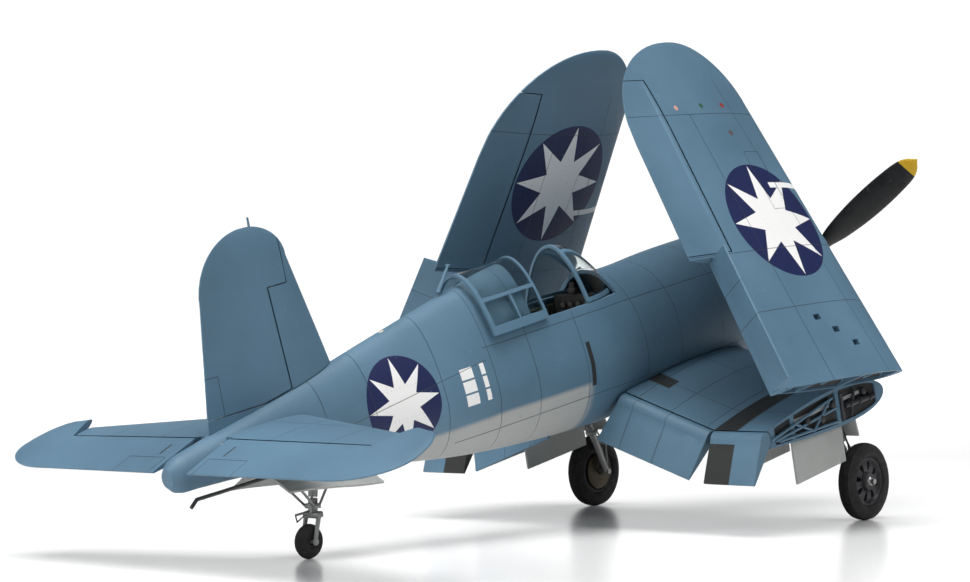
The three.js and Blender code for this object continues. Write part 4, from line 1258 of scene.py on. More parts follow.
@dataclass
class Cockpit:
    """The tub and what stands in it, the windscreen and the sliding canopy."""

    screen: tuple[Row, ...] = ((127, 8, 20.5), (131, 12.8, 23.2), (137, 15.4, 28.6), (143, 16.6, 33),
                               (147, 17, 34.3), (150.2, 17.1, 34.5))
    wall: float = 0.9

    def build(self) -> None:
        """Makes every piece of the cockpit."""
        self.tub()
        self.seat()
        self.panel()
        self.windscreen()
        self.canopy()
        mast = gather([bar((0, 203.2, 30.4), (0, 196.9, 37.6), 0.75, 0.4, 16),
                       bar((-0.9, 196.9, 37.7), (0.9, 196.9, 37.7), 0.28, sides=10)])
        finish_piece(mast, "aerial_mast", "airframe", "plain", ("antenna_mast",))

    def tub(self) -> None:
        """Makes the tub with its side consoles and ribs."""
        tub = box((-11, 11), (138, 174.6), (-8, 13.6))
        cut(tub, box((-9.8, 9.8), (139.2, 173.4), (-6.6, 20)))
        parts = [tub]
        for side in (1, -1):
            lo, hi = sorted((6.6 * side, 9.7 * side))
            parts.append(box((lo, hi), (144, 162), (2.6, 4.8), 0.3))
            for k in range(6):
                parts.append(box((lo + 0.5, hi - 0.6), (145 + 2.8 * k, 146.6 + 2.8 * k), (4.8, 5.3), 0.1))
            for k in range(5):
                across = sorted((9.2 * side, 9.8 * side))
                parts.append(box(across, (141 + 6.5 * k, 141.8 + 6.5 * k), (-6, 13.4)))
        finish_piece(gather(parts), "tub_with_consoles", "airframe", "interior",
                     ("cockpit_tub",))

    def seat(self) -> None:
        """Makes the bucket seat, its harness and the headrest bulkhead."""
        seat = box((-5.6, 5.6), (160, 170.5), (-4.5, 12), 0.5)
        cut(seat, box((-4.8, 4.8), (158, 168.6), (-0.5, 14)))
        parts = [seat, box((-3, 3), (162, 168), (-6.25, -4.4), 0.2)]
        finish_piece(gather(parts), "bucket_seat", "airframe", "interior", ("pilot_seat",))
        straps = []
        for x in (-2.2, 2.2):
            straps.append(box((x - 0.7, x + 0.7), (168.15, 168.55), (1.2, 12.4), 0.1))
            straps.append(box((x - 0.7, x + 0.7), (161.5, 168.2), (-0.45, -0.1), 0.1))
        finish_piece(gather(straps), "seat_harness", "airframe", "belt")
        wall = fuselage_body(176.2, 177.4, 1, -SKIN - 1, 60)
        cut(wall, box((-20, 20), (170, 180), (-30, -8.5)))
        pad = box((-3, 3), (174.9, 176.6), (15.4, 21), 0.7)
        finish_piece(gather([wall, pad]), "headrest_wall", "airframe", "interior",
                     ("headrest_bulkhead",))

    def panel(self) -> None:
        """Makes the instrument panel, its dials, the gunsight and the stick."""
        board = box((-8.6, 8.6), (140.1, 141), (3.1, 16.6), 0.3)
        finish_piece(board, "instrument_board", "airframe", "black", ("instrument_panel",))
        rims, faces = [], []
        four, five = (-4.8, -1.6, 1.6, 4.8), (-6.4, -3.2, 0, 3.2, 6.4)
        rows = ((13.4, four), (10.2, five), (7.0, four))
        for z, places in rows:
            for x in places:
                rims.append(bar((x, 141, z), (x, 141.5, z), 1.25, sides=20))
                faces.append(bar((x, 141.5, z), (x, 141.56, z), 0.85, sides=16))
        rims += [box((-1.3, 1.3), (140.2, 142.4), (17, 18.6), 0.2),
                 bar((0, 141.2, 18.6), (0, 141.2, 20.4), 0.9)]
        finish_piece(gather(rims), "dial_rims", "airframe", "black")
        finish_piece(gather(faces), "dial_faces", "airframe", "dial")
        stick = gather([pipe([(0, 154, -6.2), (0, 152.4, -1.5), (0, 151, 3.2)], 0.5),
                        box((-0.8, 0.8), (150.4, 151.8), (2.6, 4.3), 0.4)])
        finish_piece(stick, "stick_and_grip", "airframe", "black", ("control_stick",))

    def screen_body(self, offset: float, first: float, last: float) -> bpy.types.Object:
        """Skins the windscreen's outside, grown by an offset."""
        return loft([hoop(y, smooth_at(self.screen, y, 1), smooth_at(self.screen, y, 2), offset)
                     for y in steps(first, last, 24)])

    def windscreen(self) -> None:
        """Makes the windscreen's glass and its frame."""
        above = ((-30, 30), (120, 160), (SILL + GAP, 60))
        glass = self.screen_body(-0.25, 127, 150.1)
        cut(glass, self.screen_body(-0.7, 126, 152))
        keep(glass, box(*above))
        cut(glass, fuselage_body(100, COCKPIT[0] + 0.2, 24, 0.7))
        finish_piece(glass, "windscreen_glass", "airframe", "glass", ("windscreen",))
        frame_shell = self.screen_body(0, 127, 150.2)
        cut(frame_shell, self.screen_body(-self.wall, 126, 152))
        keep(frame_shell, box(*above))
        cut(frame_shell, fuselage_body(100, COCKPIT[0] + 0.2, 24, 0.6))
        strips = [box((-30, 30), (148.9, 152), (0, 60)), box((-30, 30), (120, 160), (SILL, SILL + 1.6))]
        for x in (4.6, -4.6):
            strips.append(box((x - 0.5, x + 0.5), (120, 150), (18, 60)))
        strips.append(box((-30, 30), (120, 130.6), (10, 60)))
        keep(frame_shell, union_of(strips))
        finish_piece(frame_shell, "windscreen_frame", "airframe", "plain")

    def canopy(self) -> None:
        """Makes the sliding canopy's glass, side panels and frame, slid open."""
        front, back = CANOPY_FRONT, CANOPY_FRONT + CANOPY_LENGTH
        place = Matrix.Translation((0, CANOPY_TRAVEL, -CANOPY_TRAVEL * CANOPY_SLOPE))

        def cover(grow: float, a: float, b: float) -> bpy.types.Object:
            """Skins the canopy's outside between two stations."""
            return loft([hoop(y, 16.9 + grow, 35.2 - 0.025 * (y - front) + grow) for y in steps(a, b, 12)])

        room = ((-30, 30), (100, 200), (SILL + 1, 60))
        glass = cover(0.65, front + 0.3, back - 0.3)
        cut(glass, cover(0.3, front - 1, back + 1))
        keep(glass, box(*room))
        finish_piece(glass, "canopy_glass", "canopy", "glass", ("sliding_canopy",), place)
        hoops = cover(self.wall, front, back)
        cut(hoops, cover(0.02, front - 1, back + 1))
        keep(hoops, box(*room))
        strips = [box((-30, 30), (front - 1, front + 1.1), (0, 60)),
                  box((-30, 30), (back - 1.6, back + 1), (0, 60)),
                  box((-30, 30), (front, back), (SILL, SILL + 3.6)),
                  box((-30, 30), (front + 11.6, front + 12.5), (0, 27.5)),
                  box((-30, 30), (front, back), (26.4, 27.4))]
        keep(hoops, union_of(strips))
        finish_piece(hoops, "canopy_frame", "canopy", "plain", place=place)


def union_of(objects: Sequence[bpy.types.Object]) -> bpy.types.Object:
    """Joins overlapping bodies into one clean solid."""
    whole = objects[0]
    for obj in objects[1:]:
        fuse(whole, obj)
    return whole


# ------------------------------------------------------------------ wings
GULL: tuple[Row, ...] = ((6, -15.4, 0.165), (17, -19.3, 0.165), (40, -27.6, 0.155), (48, -30.25, 0.15),
                         (53, CHORD_Z, 0.15), (61, CHORD_Z, 0.15), (FOLD_X, CHORD_Z, 0.15))


@dataclass
class InnerWing:
    """One side's gull wing, with its wheel bay, intake, flaps and fold-joint hardware."""

    side: Side
    inboard: tuple[float, float] = (13.2, 48.0)
    middle: tuple[float, float] = (49.5, FOLD_X - GAP)

    def station(self, x: float) -> tuple[Vector, float]:
        """Gives the leading edge point and the thickness at x."""
        return Vector((x, WING_FRONT, smooth_at(GULL, x, 1))), smooth_at(GULL, x, 2)

    def hinge(self, span: Sequence[float], thick: Vector) -> HingeLine:
        """Gives a flap's hinge line between two stations."""
        ends = []
        for x in span:
            nose, thickness = self.station(x)
            middle, half = core_at(CHORD, thickness, CAMBER, HINGE_AFT)
            ends.append((nose + AFT * HINGE_AFT + UP * middle, half + 0.1))
        (a, ra), (b, rb) = ends
        return HingeLine(a, b, (ra, rb), thick)

    def body(self, shrink: float = 0.0, stops: Sequence[float] | None = None) -> bpy.types.Object:
        """Skins the wing, or a smaller copy of it for a pocket."""
        rings = []
        whole = (6, 10, 14, 17, 21, 25, 29, 33, 37, 40, 42.5, 45, 47, 49, 51, 53, 57, 61, 65, FOLD_X - GAP)
        for x in stops or whole:
            nose, thickness = self.station(x)
            chord = CHORD - 2.4 * shrink
            share = thickness - 2.2 * shrink / CHORD
            rings.append(airfoil(nose + AFT * shrink * 1.2, chord, share, CAMBER, AFT, UP))
        return loft(rings)

    def build(self) -> None:
        """Makes the wing, its flaps and its fold fittings."""
        mirror = side_matrix(self.side)
        name = self.side.label
        inboard = self.hinge(self.inboard, UP)
        inboard = self.hinge(self.inboard, inboard.along.cross(AFT))
        middle = self.hinge(self.middle, UP)
        wing = self.body()
        inboard_flap = inboard.split(wing, (-4, inboard.length), (0, inboard.length))
        middle_flap = middle.split(wing, (0, middle.length + 5), (GAP, middle.length))
        cut(wing, box((46, 51.2), (WING_FRONT + HINGE_AFT - 0.5, 200), (-60, 0)))
        cut(wing, box((42, 67.8), (88, 129), (-60, -27.4)), box((48.4, 61), (79.5, 89), (-60, -27.4)))
        z0, z1 = smooth_at(GULL, 21.5, 1), smooth_at(GULL, 36, 1)
        cut(wing, loft([[(x, 60, z - 2.4), (x, 84, z - 2.4), (x, 84, z + 3), (x, 60, z + 3)]
                        for x, z in ((21.5, z0), (36, z1))]))
        cut(wing, fuselage_body(60, 200, 40, GAP + 0.15, 60))
        self.pocket(wing)
        finish_piece(wing, f"gull_wing_{name}", "airframe", "inner_wing",
                     (f"inner_wing_{name}",), mirror)
        cut(inboard_flap, fuselage_body(60, 200, 40, 1.2, 60))
        for flap, line, label, paint in ((inboard_flap, inboard, "inboard", "flap"),
                                         (middle_flap, middle, "middle", "walk_flap")):
            drop = about(line.start, Matrix.Rotation(-FLAP_DROP, 4, line.along))
            finish_piece(flap, f"{label}_flap_skin_{name}", f"{label}_flap_{name}", paint,
                         (f"{label}_flap_{name}",), mirror @ drop)
        self.fittings(mirror)
        self.bay(mirror)
        self.intake(mirror)

    def pocket(self, wing: bpy.types.Object) -> None:
        """Hollows the wing's folding end, so that its ribs and spars show."""
        for front, back in POCKETS:
            hole = self.body(0.9, [68.0, 72.0])
            keep(hole, box((60, 90), (WING_FRONT + front, WING_FRONT + back), (-60, 0)))
            cut(wing, hole)

    def fittings(self, mirror: Matrix) -> None:
        """Makes the black sheets of painted shade in the fold pockets, and the trusses, spar caps and hinge
        lugs in the folding end.
        """
        name = self.side.label
        # painted shade: a matt black sheet at the bottom of each fold pocket stands in for the shade in the
        # recess
        painted_shade_floors = []
        for front, back in POCKETS:
            room = box((60, 90), (WING_FRONT + front, WING_FRONT + back), (-60, 0))
            painted_shade_floors.append(keep(self.body(0.9, [67.6, 68.1]), room))
        finish_piece(gather(painted_shade_floors), f"fold_pocket_floor_{name}", "airframe", "black",
                     place=mirror)
        x = FOLD_X
        runs = (((141, -30.5), (106, -25.9)), ((139, -31.2), (104, -29.5)), ((137, -31.8), (104, -34.0)),
                ((128, -28.6), (118, -33.4)), ((118, -33.4), (108, -26.6)))
        tubes = [bar((x, *a), (x, *b), 0.45, sides=14) for a, b in runs]
        finish_piece(gather(tubes), f"fold_tubes_{name}", "airframe", "plain", (), mirror)
        works = [bar((x, 101, -25.6), (x, 101, -34.4), 0.7, sides=16),
                 bar((x, 93, -25.8), (x, 96.5, -34), 0.5, sides=14),
                 bar((x, 82.5, -30.8), (x, 99.5, -30), 0.95, sides=20)]
        for y in (84.5, 90.5, 96.0):
            rise = 0.047 * (y - 86)
            works.append(bar((x, y, -30.6 + rise), (x, y + 1.1, -30.55 + rise), 1.25, sides=20))
        works += [bar((67.9, y, z), (69.6, y, z), 1.2, sides=20, bevel=0.15)
                  for y, z in ((88, -28), (106, -28), (113, -31), (121, -29.5))]
        finish_piece(gather(works), f"fold_actuator_{name}", "airframe", "dark", (), mirror)

    def bay(self, mirror: Matrix) -> None:
        """Lines the roof of the wheel bay with stringers and ribs."""
        parts = [box((43 + 4.9 * k, 43.7 + 4.9 * k), (89, 128.2), (-28.6, -27.5)) for k in range(6)]
        parts += [box((42.4, 67.2), (94 + 8.5 * k, 94.6 + 8.5 * k), (-28.9, -27.6)) for k in range(4)]
        finish_piece(gather(parts), f"bay_stringers_{self.side.label}", "airframe", "pale",
                     place=mirror)

    def intake(self, mirror: Matrix) -> None:
        """Sets vanes in the root intake."""
        vanes = []
        for k in range(5):
            x = 23.6 + 2.6 * k
            z = smooth_at(GULL, x, 1)
            vanes.append(box((x - 0.2, x + 0.2), (80.5, 83.6), (z - 2.3, z + 2.9)))
        finish_piece(gather(vanes), f"intake_vanes_{self.side.label}", "airframe", "dark",
                     place=mirror)


@dataclass
class OuterWing:
    """One side's folding panel, with its flap, aileron and lamps."""

    side: Side
    flap: tuple[float, float] = (GAP, 46.5)
    aileron: tuple[float, float] = (47.5, 112.0)
    upright: Vector = field(default_factory=lambda: Vector((math.tan(DIHEDRAL), 0, 1)))

    def edges(self, s: float) -> tuple[float, float]:
        """Gives the chordwise places of the leading and trailing edges."""
        def curve(start: float) -> float:
            """How much of the straight edge is left past a point, as on an ellipse."""
            return math.sqrt(max(0.0, 1 - (max(0.0, s - start) / (PANEL - start)) ** 2))
        apex, nose, tail = 31.0, 7.5 * 102 / 90, CHORD - 6 * 87 / 90
        front = apex - (apex - nose) * curve(102) if s > 102 else 7.5 * s / 90
        back = apex + (tail - apex) * curve(87) if s > 87 else CHORD - 6 * s / 90
        return front, back

    def thickness(self, s: float) -> float:
        """Gives the section's thickness as a share of its chord."""
        return 0.15 - 0.055 * s / PANEL

    def hinge(self, first: Sequence[float], last: Sequence[float]) -> HingeLine:
        """Gives the hinge line between two places on the panel, with a nose as thick as the panel."""
        cores = []
        for t in steps(0, 1, 10):
            s, c = first[0] + (last[0] - first[0]) * t, first[1] + (last[1] - first[1]) * t
            front, back = self.edges(s)
            cores.append((t, *core_at(back - front, self.thickness(s), CAMBER, c - front)))
        low, high = cores[0][1], cores[-1][1]
        radii = tuple(half + abs(middle - low - (high - low) * t) for t, middle, half in cores)
        return HingeLine(Vector((*first, low)), Vector((*last, high)), radii)

    def build(self) -> None:
        """Makes the panel, flap, aileron, fold fittings and lamps."""
        name = self.side.label
        place = panel_matrix(self.side)
        stops = [GAP, *steps(8, 96, 11), 99, 102, 105, 108, 111, 114, 117, 119, 121, 122.7, 124.2, 125.4,
                 126.4, 127.1, PANEL - 0.1]
        rings = []
        for s in stops:
            front, back = self.edges(s)
            up = UP if s > GAP else self.upright
            rings.append(airfoil((s, front, 0), back - front, self.thickness(s), CAMBER, AFT, up))
        panel = loft(rings)
        flap_line = self.hinge((self.flap[0], HINGE_AFT), (self.flap[1], HINGE_AFT - 2))
        aileron_line = self.hinge((self.aileron[0], 60.5), (self.aileron[1], 58.5))
        flap = flap_line.split(panel, (-5, flap_line.length), (0, flap_line.length - GAP))
        aileron = aileron_line.split(panel, (0, aileron_line.length), (GAP, aileron_line.length - GAP))
        self.pocket(panel)
        for s, c in ((21.4, 36.4), (16.3, 30.3), (10.9, 23.8)):
            cut(panel, box((s - 1.0, s + 1.0), (c - 1.6, c + 1.6), (-12, -2.2)))
        scheme = Scheme.PANEL_UPPER_STAR if self.side is Side.PORT else Scheme.PANEL_LOWER_STAR
        body = f"outer_wing_{name}"
        finish_piece(panel, f"wing_panel_{name}", body, scheme.value, (body,), place)
        drop = about(flap_line.start, Matrix.Rotation(-FLAP_DROP, 4, flap_line.along))
        finish_piece(flap, f"outer_flap_skin_{name}", f"outer_flap_{name}", "flap",
                     (f"outer_flap_{name}",), place @ drop)
        finish_piece(aileron, f"aileron_skin_{name}", f"aileron_{name}", scheme.value,
                     (f"aileron_{name}",), place)
        self.fittings(place, body)

    def pocket(self, panel: bpy.types.Object) -> None:
        """Hollows the panel's root, so that its ribs show when it is folded."""
        for front, back in POCKETS:
            rings = [airfoil((s, 1.2, 0), CHORD - 2.4, 0.15 - 0.024, CAMBER, AFT, UP) for s in (-3, 2.2)]
            cut(panel, keep(loft(rings), box((-5, 5), (front, back), (-20, 20))))

    def fittings(self, place: Matrix, body: str) -> None:
        """Makes the root trusses, the black sheets of painted shade in the root pockets, and the wing-tip
        lamp.
        """
        parts: list[bpy.types.Object] = []
        for front, back in ((6, 26), (28.6, 51.6)):
            span = (back - front) / 4
            for k in range(4):
                a, b = front + span * k, front + span * (k + 1)
                first, last = ((a, -2.4), (b, 3.4)) if k % 2 else ((a, 3.4), (b, -2.4))
                parts.append(bar((1.9, *first), (1.9, *last), 0.3, sides=10))
        finish_piece(gather(parts), f"root_truss_{self.side.label}", body, "plain", (), place)
        # painted shade: a matt black sheet at the bottom of each root pocket stands in for the shade in the
        # recess
        painted_shade_floors = []
        for front, back in POCKETS:
            rings = [airfoil((s, 1.2, 0), CHORD - 2.4, 0.15 - 0.024, CAMBER, AFT, UP) for s in (2.0, 2.6)]
            painted_shade_floors.append(keep(loft(rings), box((-5, 5), (front, back), (-20, 20))))
        finish_piece(gather(painted_shade_floors), f"root_pocket_floor_{self.side.label}", body, "black",
                     place=place)
        front, back = self.edges(118)
        lamp = bar((118, front + 0.3, 0.3), (118, front + 2.4, 0.3), 0.55, 0.75, 16, 0.1)
        paint = "lamp_red" if self.side is Side.PORT else "lamp_green"
        finish_piece(lamp, f"tip_lamp_{self.side.label}", body, paint, (), place)


# ------------------------------------------------------------------ tail
@dataclass
class Tail:
    """The fin, rudder, stabilizers and elevators."""

    hinge_foot: Vector = field(default_factory=lambda: Vector((0, 270.4, 12)))
    hinge_top: Vector = field(default_factory=lambda: Vector((0, 273.4, 61)))
    fin_thickness: float = 0.085
    rudder_foot: float = 16.0
    horn_start: float = 60.0

    def fin_edges(self, z: float) -> tuple[float, float]:
        """Gives the fore and aft edges of the fin and rudder at a height."""
        def quarter(start: float, height: float) -> float:
            """A quarter of an ellipse."""
            return math.sqrt(max(0.0, 1 - ((z - start) / height) ** 2))
        front = 251.6 + (z - 20) * 0.3 if z < 54 else 276 - 14.2 * quarter(54, 10.6)
        back = 300.8 - (z - 12.4) * 0.145 if z < 46 else 276 + 19.9 * quarter(46, 18.6)
        return front, back

    def tail_edges(self, x: float) -> tuple[float, float]:
        """Gives the fore and aft edges of the tailplane at a distance from the centre."""
        def curve(start: float) -> float:
            """A quarter of an ellipse from a point to the tip."""
            return math.sqrt(max(0.0, 1 - (max(0.0, x - start) / (TAILPLANE_TIP - start)) ** 2))
        apex, front70, back = 303.0, 268.5 + 66 * 0.3, 316.6
        front = apex - (apex - front70) * curve(70) if x > 70 else 268.5 + (x - 4) * 0.3
        return front, apex + (back - apex) * curve(58) if x > 58 else back

    def build(self) -> None:
        """Makes both surfaces."""
        self.upright()
        for side in Side:
            self.level(side)
        carry_over("elevator_joiner", "steel")

    def upright(self) -> None:
        """Makes the fin and the rudder with its horn."""
        across = OUT
        rings = []
        for z in [6, 12, *steps(18, 54, 14), 56, 57.6, 59, 60.3, 61.4, 62.4, 63.2, 63.8, 64.2, 64.5]:
            front, back = self.fin_edges(z)
            rings.append(airfoil((0, front, z), back - front, self.fin_thickness, 0, AFT, across))
        tail = loft(rings)
        fillet = keep(duplicate(tail), box((-9, 9), (276, 310), (8, self.rudder_foot - GAP)))

        def half(point: Vector) -> float:
            """Half the fin's thickness at the hinge."""
            front, back = self.fin_edges(point.z)
            return core_at(back - front, self.fin_thickness, 0, point.y - front)[1]

        radii = (half(self.hinge_foot), half(self.hinge_top))
        line = HingeLine(self.hinge_foot, self.hinge_top, radii, across)
        span = (-7, line.length)
        rudder = line.split(tail, span, span, box((-9.5, 9.5), (264.6, 310), (47, 70)))
        cut(tail, box((-9, 9), (264.6 - GAP, 310), (47 - GAP, 70)), tail_cone(GAP))
        cut(rudder, tail_cone(0.7), box((-9.5, 9.5), (240, 330), (-10, self.rudder_foot)))
        finish_piece(tail, "tail_fin", "airframe", "fin", ("fin",))
        finish_piece(fillet, "rudder_fillet", "airframe", "fin")
        finish_piece(rudder, "rudder_skin", "rudder", "fin", ("rudder",))
        whip = bar((0, 273.5, 63.2), (0, 273.5, 67), 0.4, 0.3, sides=14)
        finish_piece(whip, "rudder_whip", "rudder", "plain")

    def tip_room(self, gap: float) -> bpy.types.Object:
        """Makes the room outboard of a slanted line, where the elevator takes the whole tip."""
        inner = self.horn_start - gap * 1.12
        outline = ((inner, ELEVATOR_HINGE), (inner + 8, 284), (90, 284), (90, 330), (inner, 330))
        return loft([[(x, y, z) for x, y in outline] for z in (0, 20)])

    def level(self, side: Side) -> None:
        """Makes one stabilizer and its drooped elevator."""
        rings = []
        for x in [2, *steps(8, 58, 10), 61, 64, 67, 70, 72, 74, 75.6, 76.8, 77.6, 78.1, TAILPLANE_TIP - 0.05]:
            front, back = self.tail_edges(x)
            rings.append(airfoil((x, front, TAILPLANE_Z), back - front, 0.095 - 0.0003 * x, 0, AFT, UP))
        surface = loft(rings)
        ends = []
        for x in (6.4, self.horn_start):
            front, back = self.tail_edges(x)
            half = core_at(back - front, 0.095 - 0.0003 * x, 0, ELEVATOR_HINGE - front)[1]
            ends.append((Vector((x, ELEVATOR_HINGE, TAILPLANE_Z)), half))
        line = HingeLine(ends[0][0], ends[1][0], (ends[0][1], ends[1][1]))
        elevator = line.split(surface, (0, line.length + 1), (GAP, line.length + 1), self.tip_room(0))
        cut(surface, self.tip_room(GAP), box((-1, 6.9), (ELEVATOR_HINGE - 2, 330), (0, 20)),
            tail_cone(GAP))
        cut(elevator, tail_cone(0.9),
            bar((5, ELEVATOR_HINGE, TAILPLANE_Z), (12, ELEVATOR_HINGE, TAILPLANE_Z), 1.05))
        mirror = side_matrix(side)
        name = side.label
        finish_piece(surface, f"tailplane_{name}", "airframe", "tailplane",
                     (f"stabilizer_{name}",), mirror)
        droop = about(Vector((0, ELEVATOR_HINGE, TAILPLANE_Z)), Matrix.Rotation(-ELEVATOR_DROP, 4, "X"))
        finish_piece(elevator, f"elevator_skin_{name}", "elevators", "tailplane",
                     (f"elevator_{name}",), mirror @ droop)


# ------------------------------------------------------------------ landing gear
@dataclass
class MainGear:
    """One side's leg, fairing, wheel and bay doors."""

    side: Side
    top: Vector = field(default_factory=lambda: Vector((54, 84.6, -29.9)))
    knee: Vector = field(default_factory=lambda: Vector((52.4, 80.4, -47)))
    foot: Vector = field(default_factory=lambda: Vector((51.6, 77, -61.6)))
    slots: int = 8

    def build(self) -> None:
        """Makes every piece of one main gear."""
        mirror = side_matrix(self.side)
        name = self.side.label
        self.leg(mirror, name)
        self.fairing(mirror, name)
        self.wheel(mirror, name)
        self.doors(mirror, name)

    def leg(self, mirror: Matrix, name: str) -> None:
        """Makes the leg, its bright piston, scissor link, drag strut and brake line."""
        way = (self.knee - self.top).normalized()
        parts = [bar(self.top, self.knee, 2.05, 1.9, 32, 0.2),
                 bar((49.2, self.top.y, self.top.z), (60, self.top.y, self.top.z), 1.5, sides=24, bevel=0.2),
                 bar((52.5, 80.6, -46), (52.5, 104, -30), 0.85, sides=16),
                 bar(self.knee - way * 1.6, self.knee - way * 0.2, 2.3, sides=32, bevel=0.2),
                 bar(self.top + way * 5, self.top + way * 6.2, 2.35, sides=32, bevel=0.2)]
        link = [(52.6, 78.6, -46.6), (52.4, 75.2, -52.4), (51.8, 76.6, -59)]
        for shift in (-0.9, 0.9):
            parts.append(pipe([(x + shift, y, z) for x, y, z in link], 0.34))
        parts.append(bar((51.2, 75.2, -52.4), (53.6, 75.2, -52.4), 0.5, sides=12))
        finish_piece(gather(parts), f"gear_leg_{name}", "airframe", "alloy",
                     (f"main_gear_leg_{name}",), mirror)
        piston = gather([bar(self.knee, self.foot, 1.3, sides=28),
                         bar((50, *MAIN_WHEEL.yz), (61.6, *MAIN_WHEEL.yz), 0.95, sides=20)])
        finish_piece(piston, f"gear_piston_{name}", "airframe", "steel", (), mirror)
        hose = pipe([(54.4, 81.4, -40), (54.9, 79.6, -48), (54.2, 78.4, -55), (53.2, 78.2, -60.4)], 0.24, 8)
        finish_piece(hose, f"brake_line_{name}", "airframe", "black", (), mirror)

    def fairing(self, mirror: Matrix, name: str) -> None:
        """Makes the plate on the front of the leg."""
        rings = []
        for t, half in ((0.1, 4.6), (0.4, 4.9), (0.7, 5.2), (0.95, 5.4)):
            p = self.top.lerp(self.knee, t)
            rings.append([(p.x - half, p.y - 4.2, p.z), (p.x + half, p.y - 4.2, p.z),
                          (p.x + half, p.y - 3.4, p.z), (p.x - half, p.y - 3.4, p.z)])
        plate = keep(loft(rings), box((40, 70), (60, 100), (-60, -36.6)))
        clip = cut(box((52, 54.6), (78.6, 81.2), (-41.5, -39)), bar(self.top, self.knee, 2.45, sides=32))
        apply_modifier(plate, "BEVEL", width=0.15, segments=2, limit_method="ANGLE")
        finish_piece(gather([plate, clip]), f"leg_plate_{name}", "airframe", "pale",
                     (f"leg_fairing_{name}",), mirror)

    def wheel(self, mirror: Matrix, name: str) -> None:
        """Makes the grooved tyre, the slotted wheel disc, its nut and the brake drum."""
        body = f"main_wheel_{name}"
        place = mirror @ Matrix.Translation(MAIN_WHEEL)
        r, half = MAIN_RADIUS, 3.2
        outline = [(8.1, -half + 1.2), (8.5, -half + 0.5), (9.4, -half), (10.4, -half + 0.1),
                   (11.3, -half + 0.6), (12.0, -half + 1.2)]
        crown = []
        for k in range(-3, 4):
            z = 0.55 * k
            ridge, groove = r - 0.035 * k * k, r - 0.28 - 0.035 * k * k
            crown += [(ridge, z - 0.2), (ridge, z + 0.1), (groove, z + 0.14), (groove, z + 0.3)]
        outline += crown[:-2] + [(radius, -z) for radius, z in reversed(outline)]
        tyre = turned([*outline, outline[0]], 96, "X")
        finish_piece(tyre, f"tyre_{name}", body, "rubber", (f"main_tyre_{name}",), place, 28)
        disc = turned([(1.35, -2.4), (2.8, -2.4), (3.2, -1.2), (6.9, -1.2), (7.2, -1.9), (7.9, -1.9),
                       (7.9, 1.9),
                       (7.3, 1.9), (6.9, 0.9), (5.6, 1.2), (4.0, 1.3), (3.2, 1.1), (2.8, 2.4), (1.35, 2.4),
                       (1.35, -2.4)], 96, "X")
        tools = []
        for i in range(self.slots):
            drop = self.slot_cutter()
            tools.append(moved(drop, Matrix.Rotation(math.tau * (i + 0.5) / self.slots, 4, "X")))
        for tool in tools:
            cut(disc, tool)
        finish_piece(disc, f"wheel_disc_{name}", body, "hub", (f"main_hub_{name}",), place)
        nut = bar((1.6, 0, 0), (3.05, 0, 0), 1.9, 1.5, 6, 0.15)
        finish_piece(nut, f"axle_nut_{name}", body, "steel", (), place, 20)
        drum = turned([(1.4, -2.9), (5.2, -2.9), (6.4, -2.5), (6.4, -1.4), (1.4, -1.4), (1.4, -2.9)], 64, "X")
        finish_piece(drum, f"brake_drum_{name}", body, "bronze", (), place)

    def slot_cutter(self) -> bpy.types.Object:
        """Makes the cutter for one teardrop slot of the wheel disc, with its round end outward."""
        low, small, high, large = 4.1, 0.5, 5.75, 0.95
        lean = math.asin((large - small) / (high - low))
        outline = [(large * math.cos(t), high + large * math.sin(t))
                   for t in steps(-lean, math.pi + lean, 16)]
        outline += [(small * math.cos(t), low + small * math.sin(t))
                    for t in steps(math.pi + lean, math.tau - lean, 8)]
        return loft([[(x, y, z) for y, z in outline] for x in (-4, 4)])

    def doors(self, mirror: Matrix, name: str) -> None:
        """Makes the two bay doors with their inner stiffeners."""
        for label, at, front, top, inward in (("inner", 43.0, 96, -31.5, 1), ("outer", 66.8, 100, -33.0, -1)):
            leaf = box((at - 0.4, at + 0.4), (front, 128), (top - 15, top), 0.15)
            parts = [leaf]
            edge = at + 0.4 * inward
            rib = sorted((edge, edge + 0.35 * inward))
            for z in (top - 3.2, top - 11.5):
                parts.append(box(rib, (front + 1.5, 126.5), (z - 0.35, z + 0.35), 0.08))
            for y in (front + 3.0, 112.0, 125.0):
                parts.append(box(rib, (y - 0.35, y + 0.35), (top - 14, top - 1), 0.08))
            finish_piece(gather(parts), f"bay_door_{label}_{name}", "airframe", "pale",
                         (f"gear_door_{label}_{name}",), mirror)


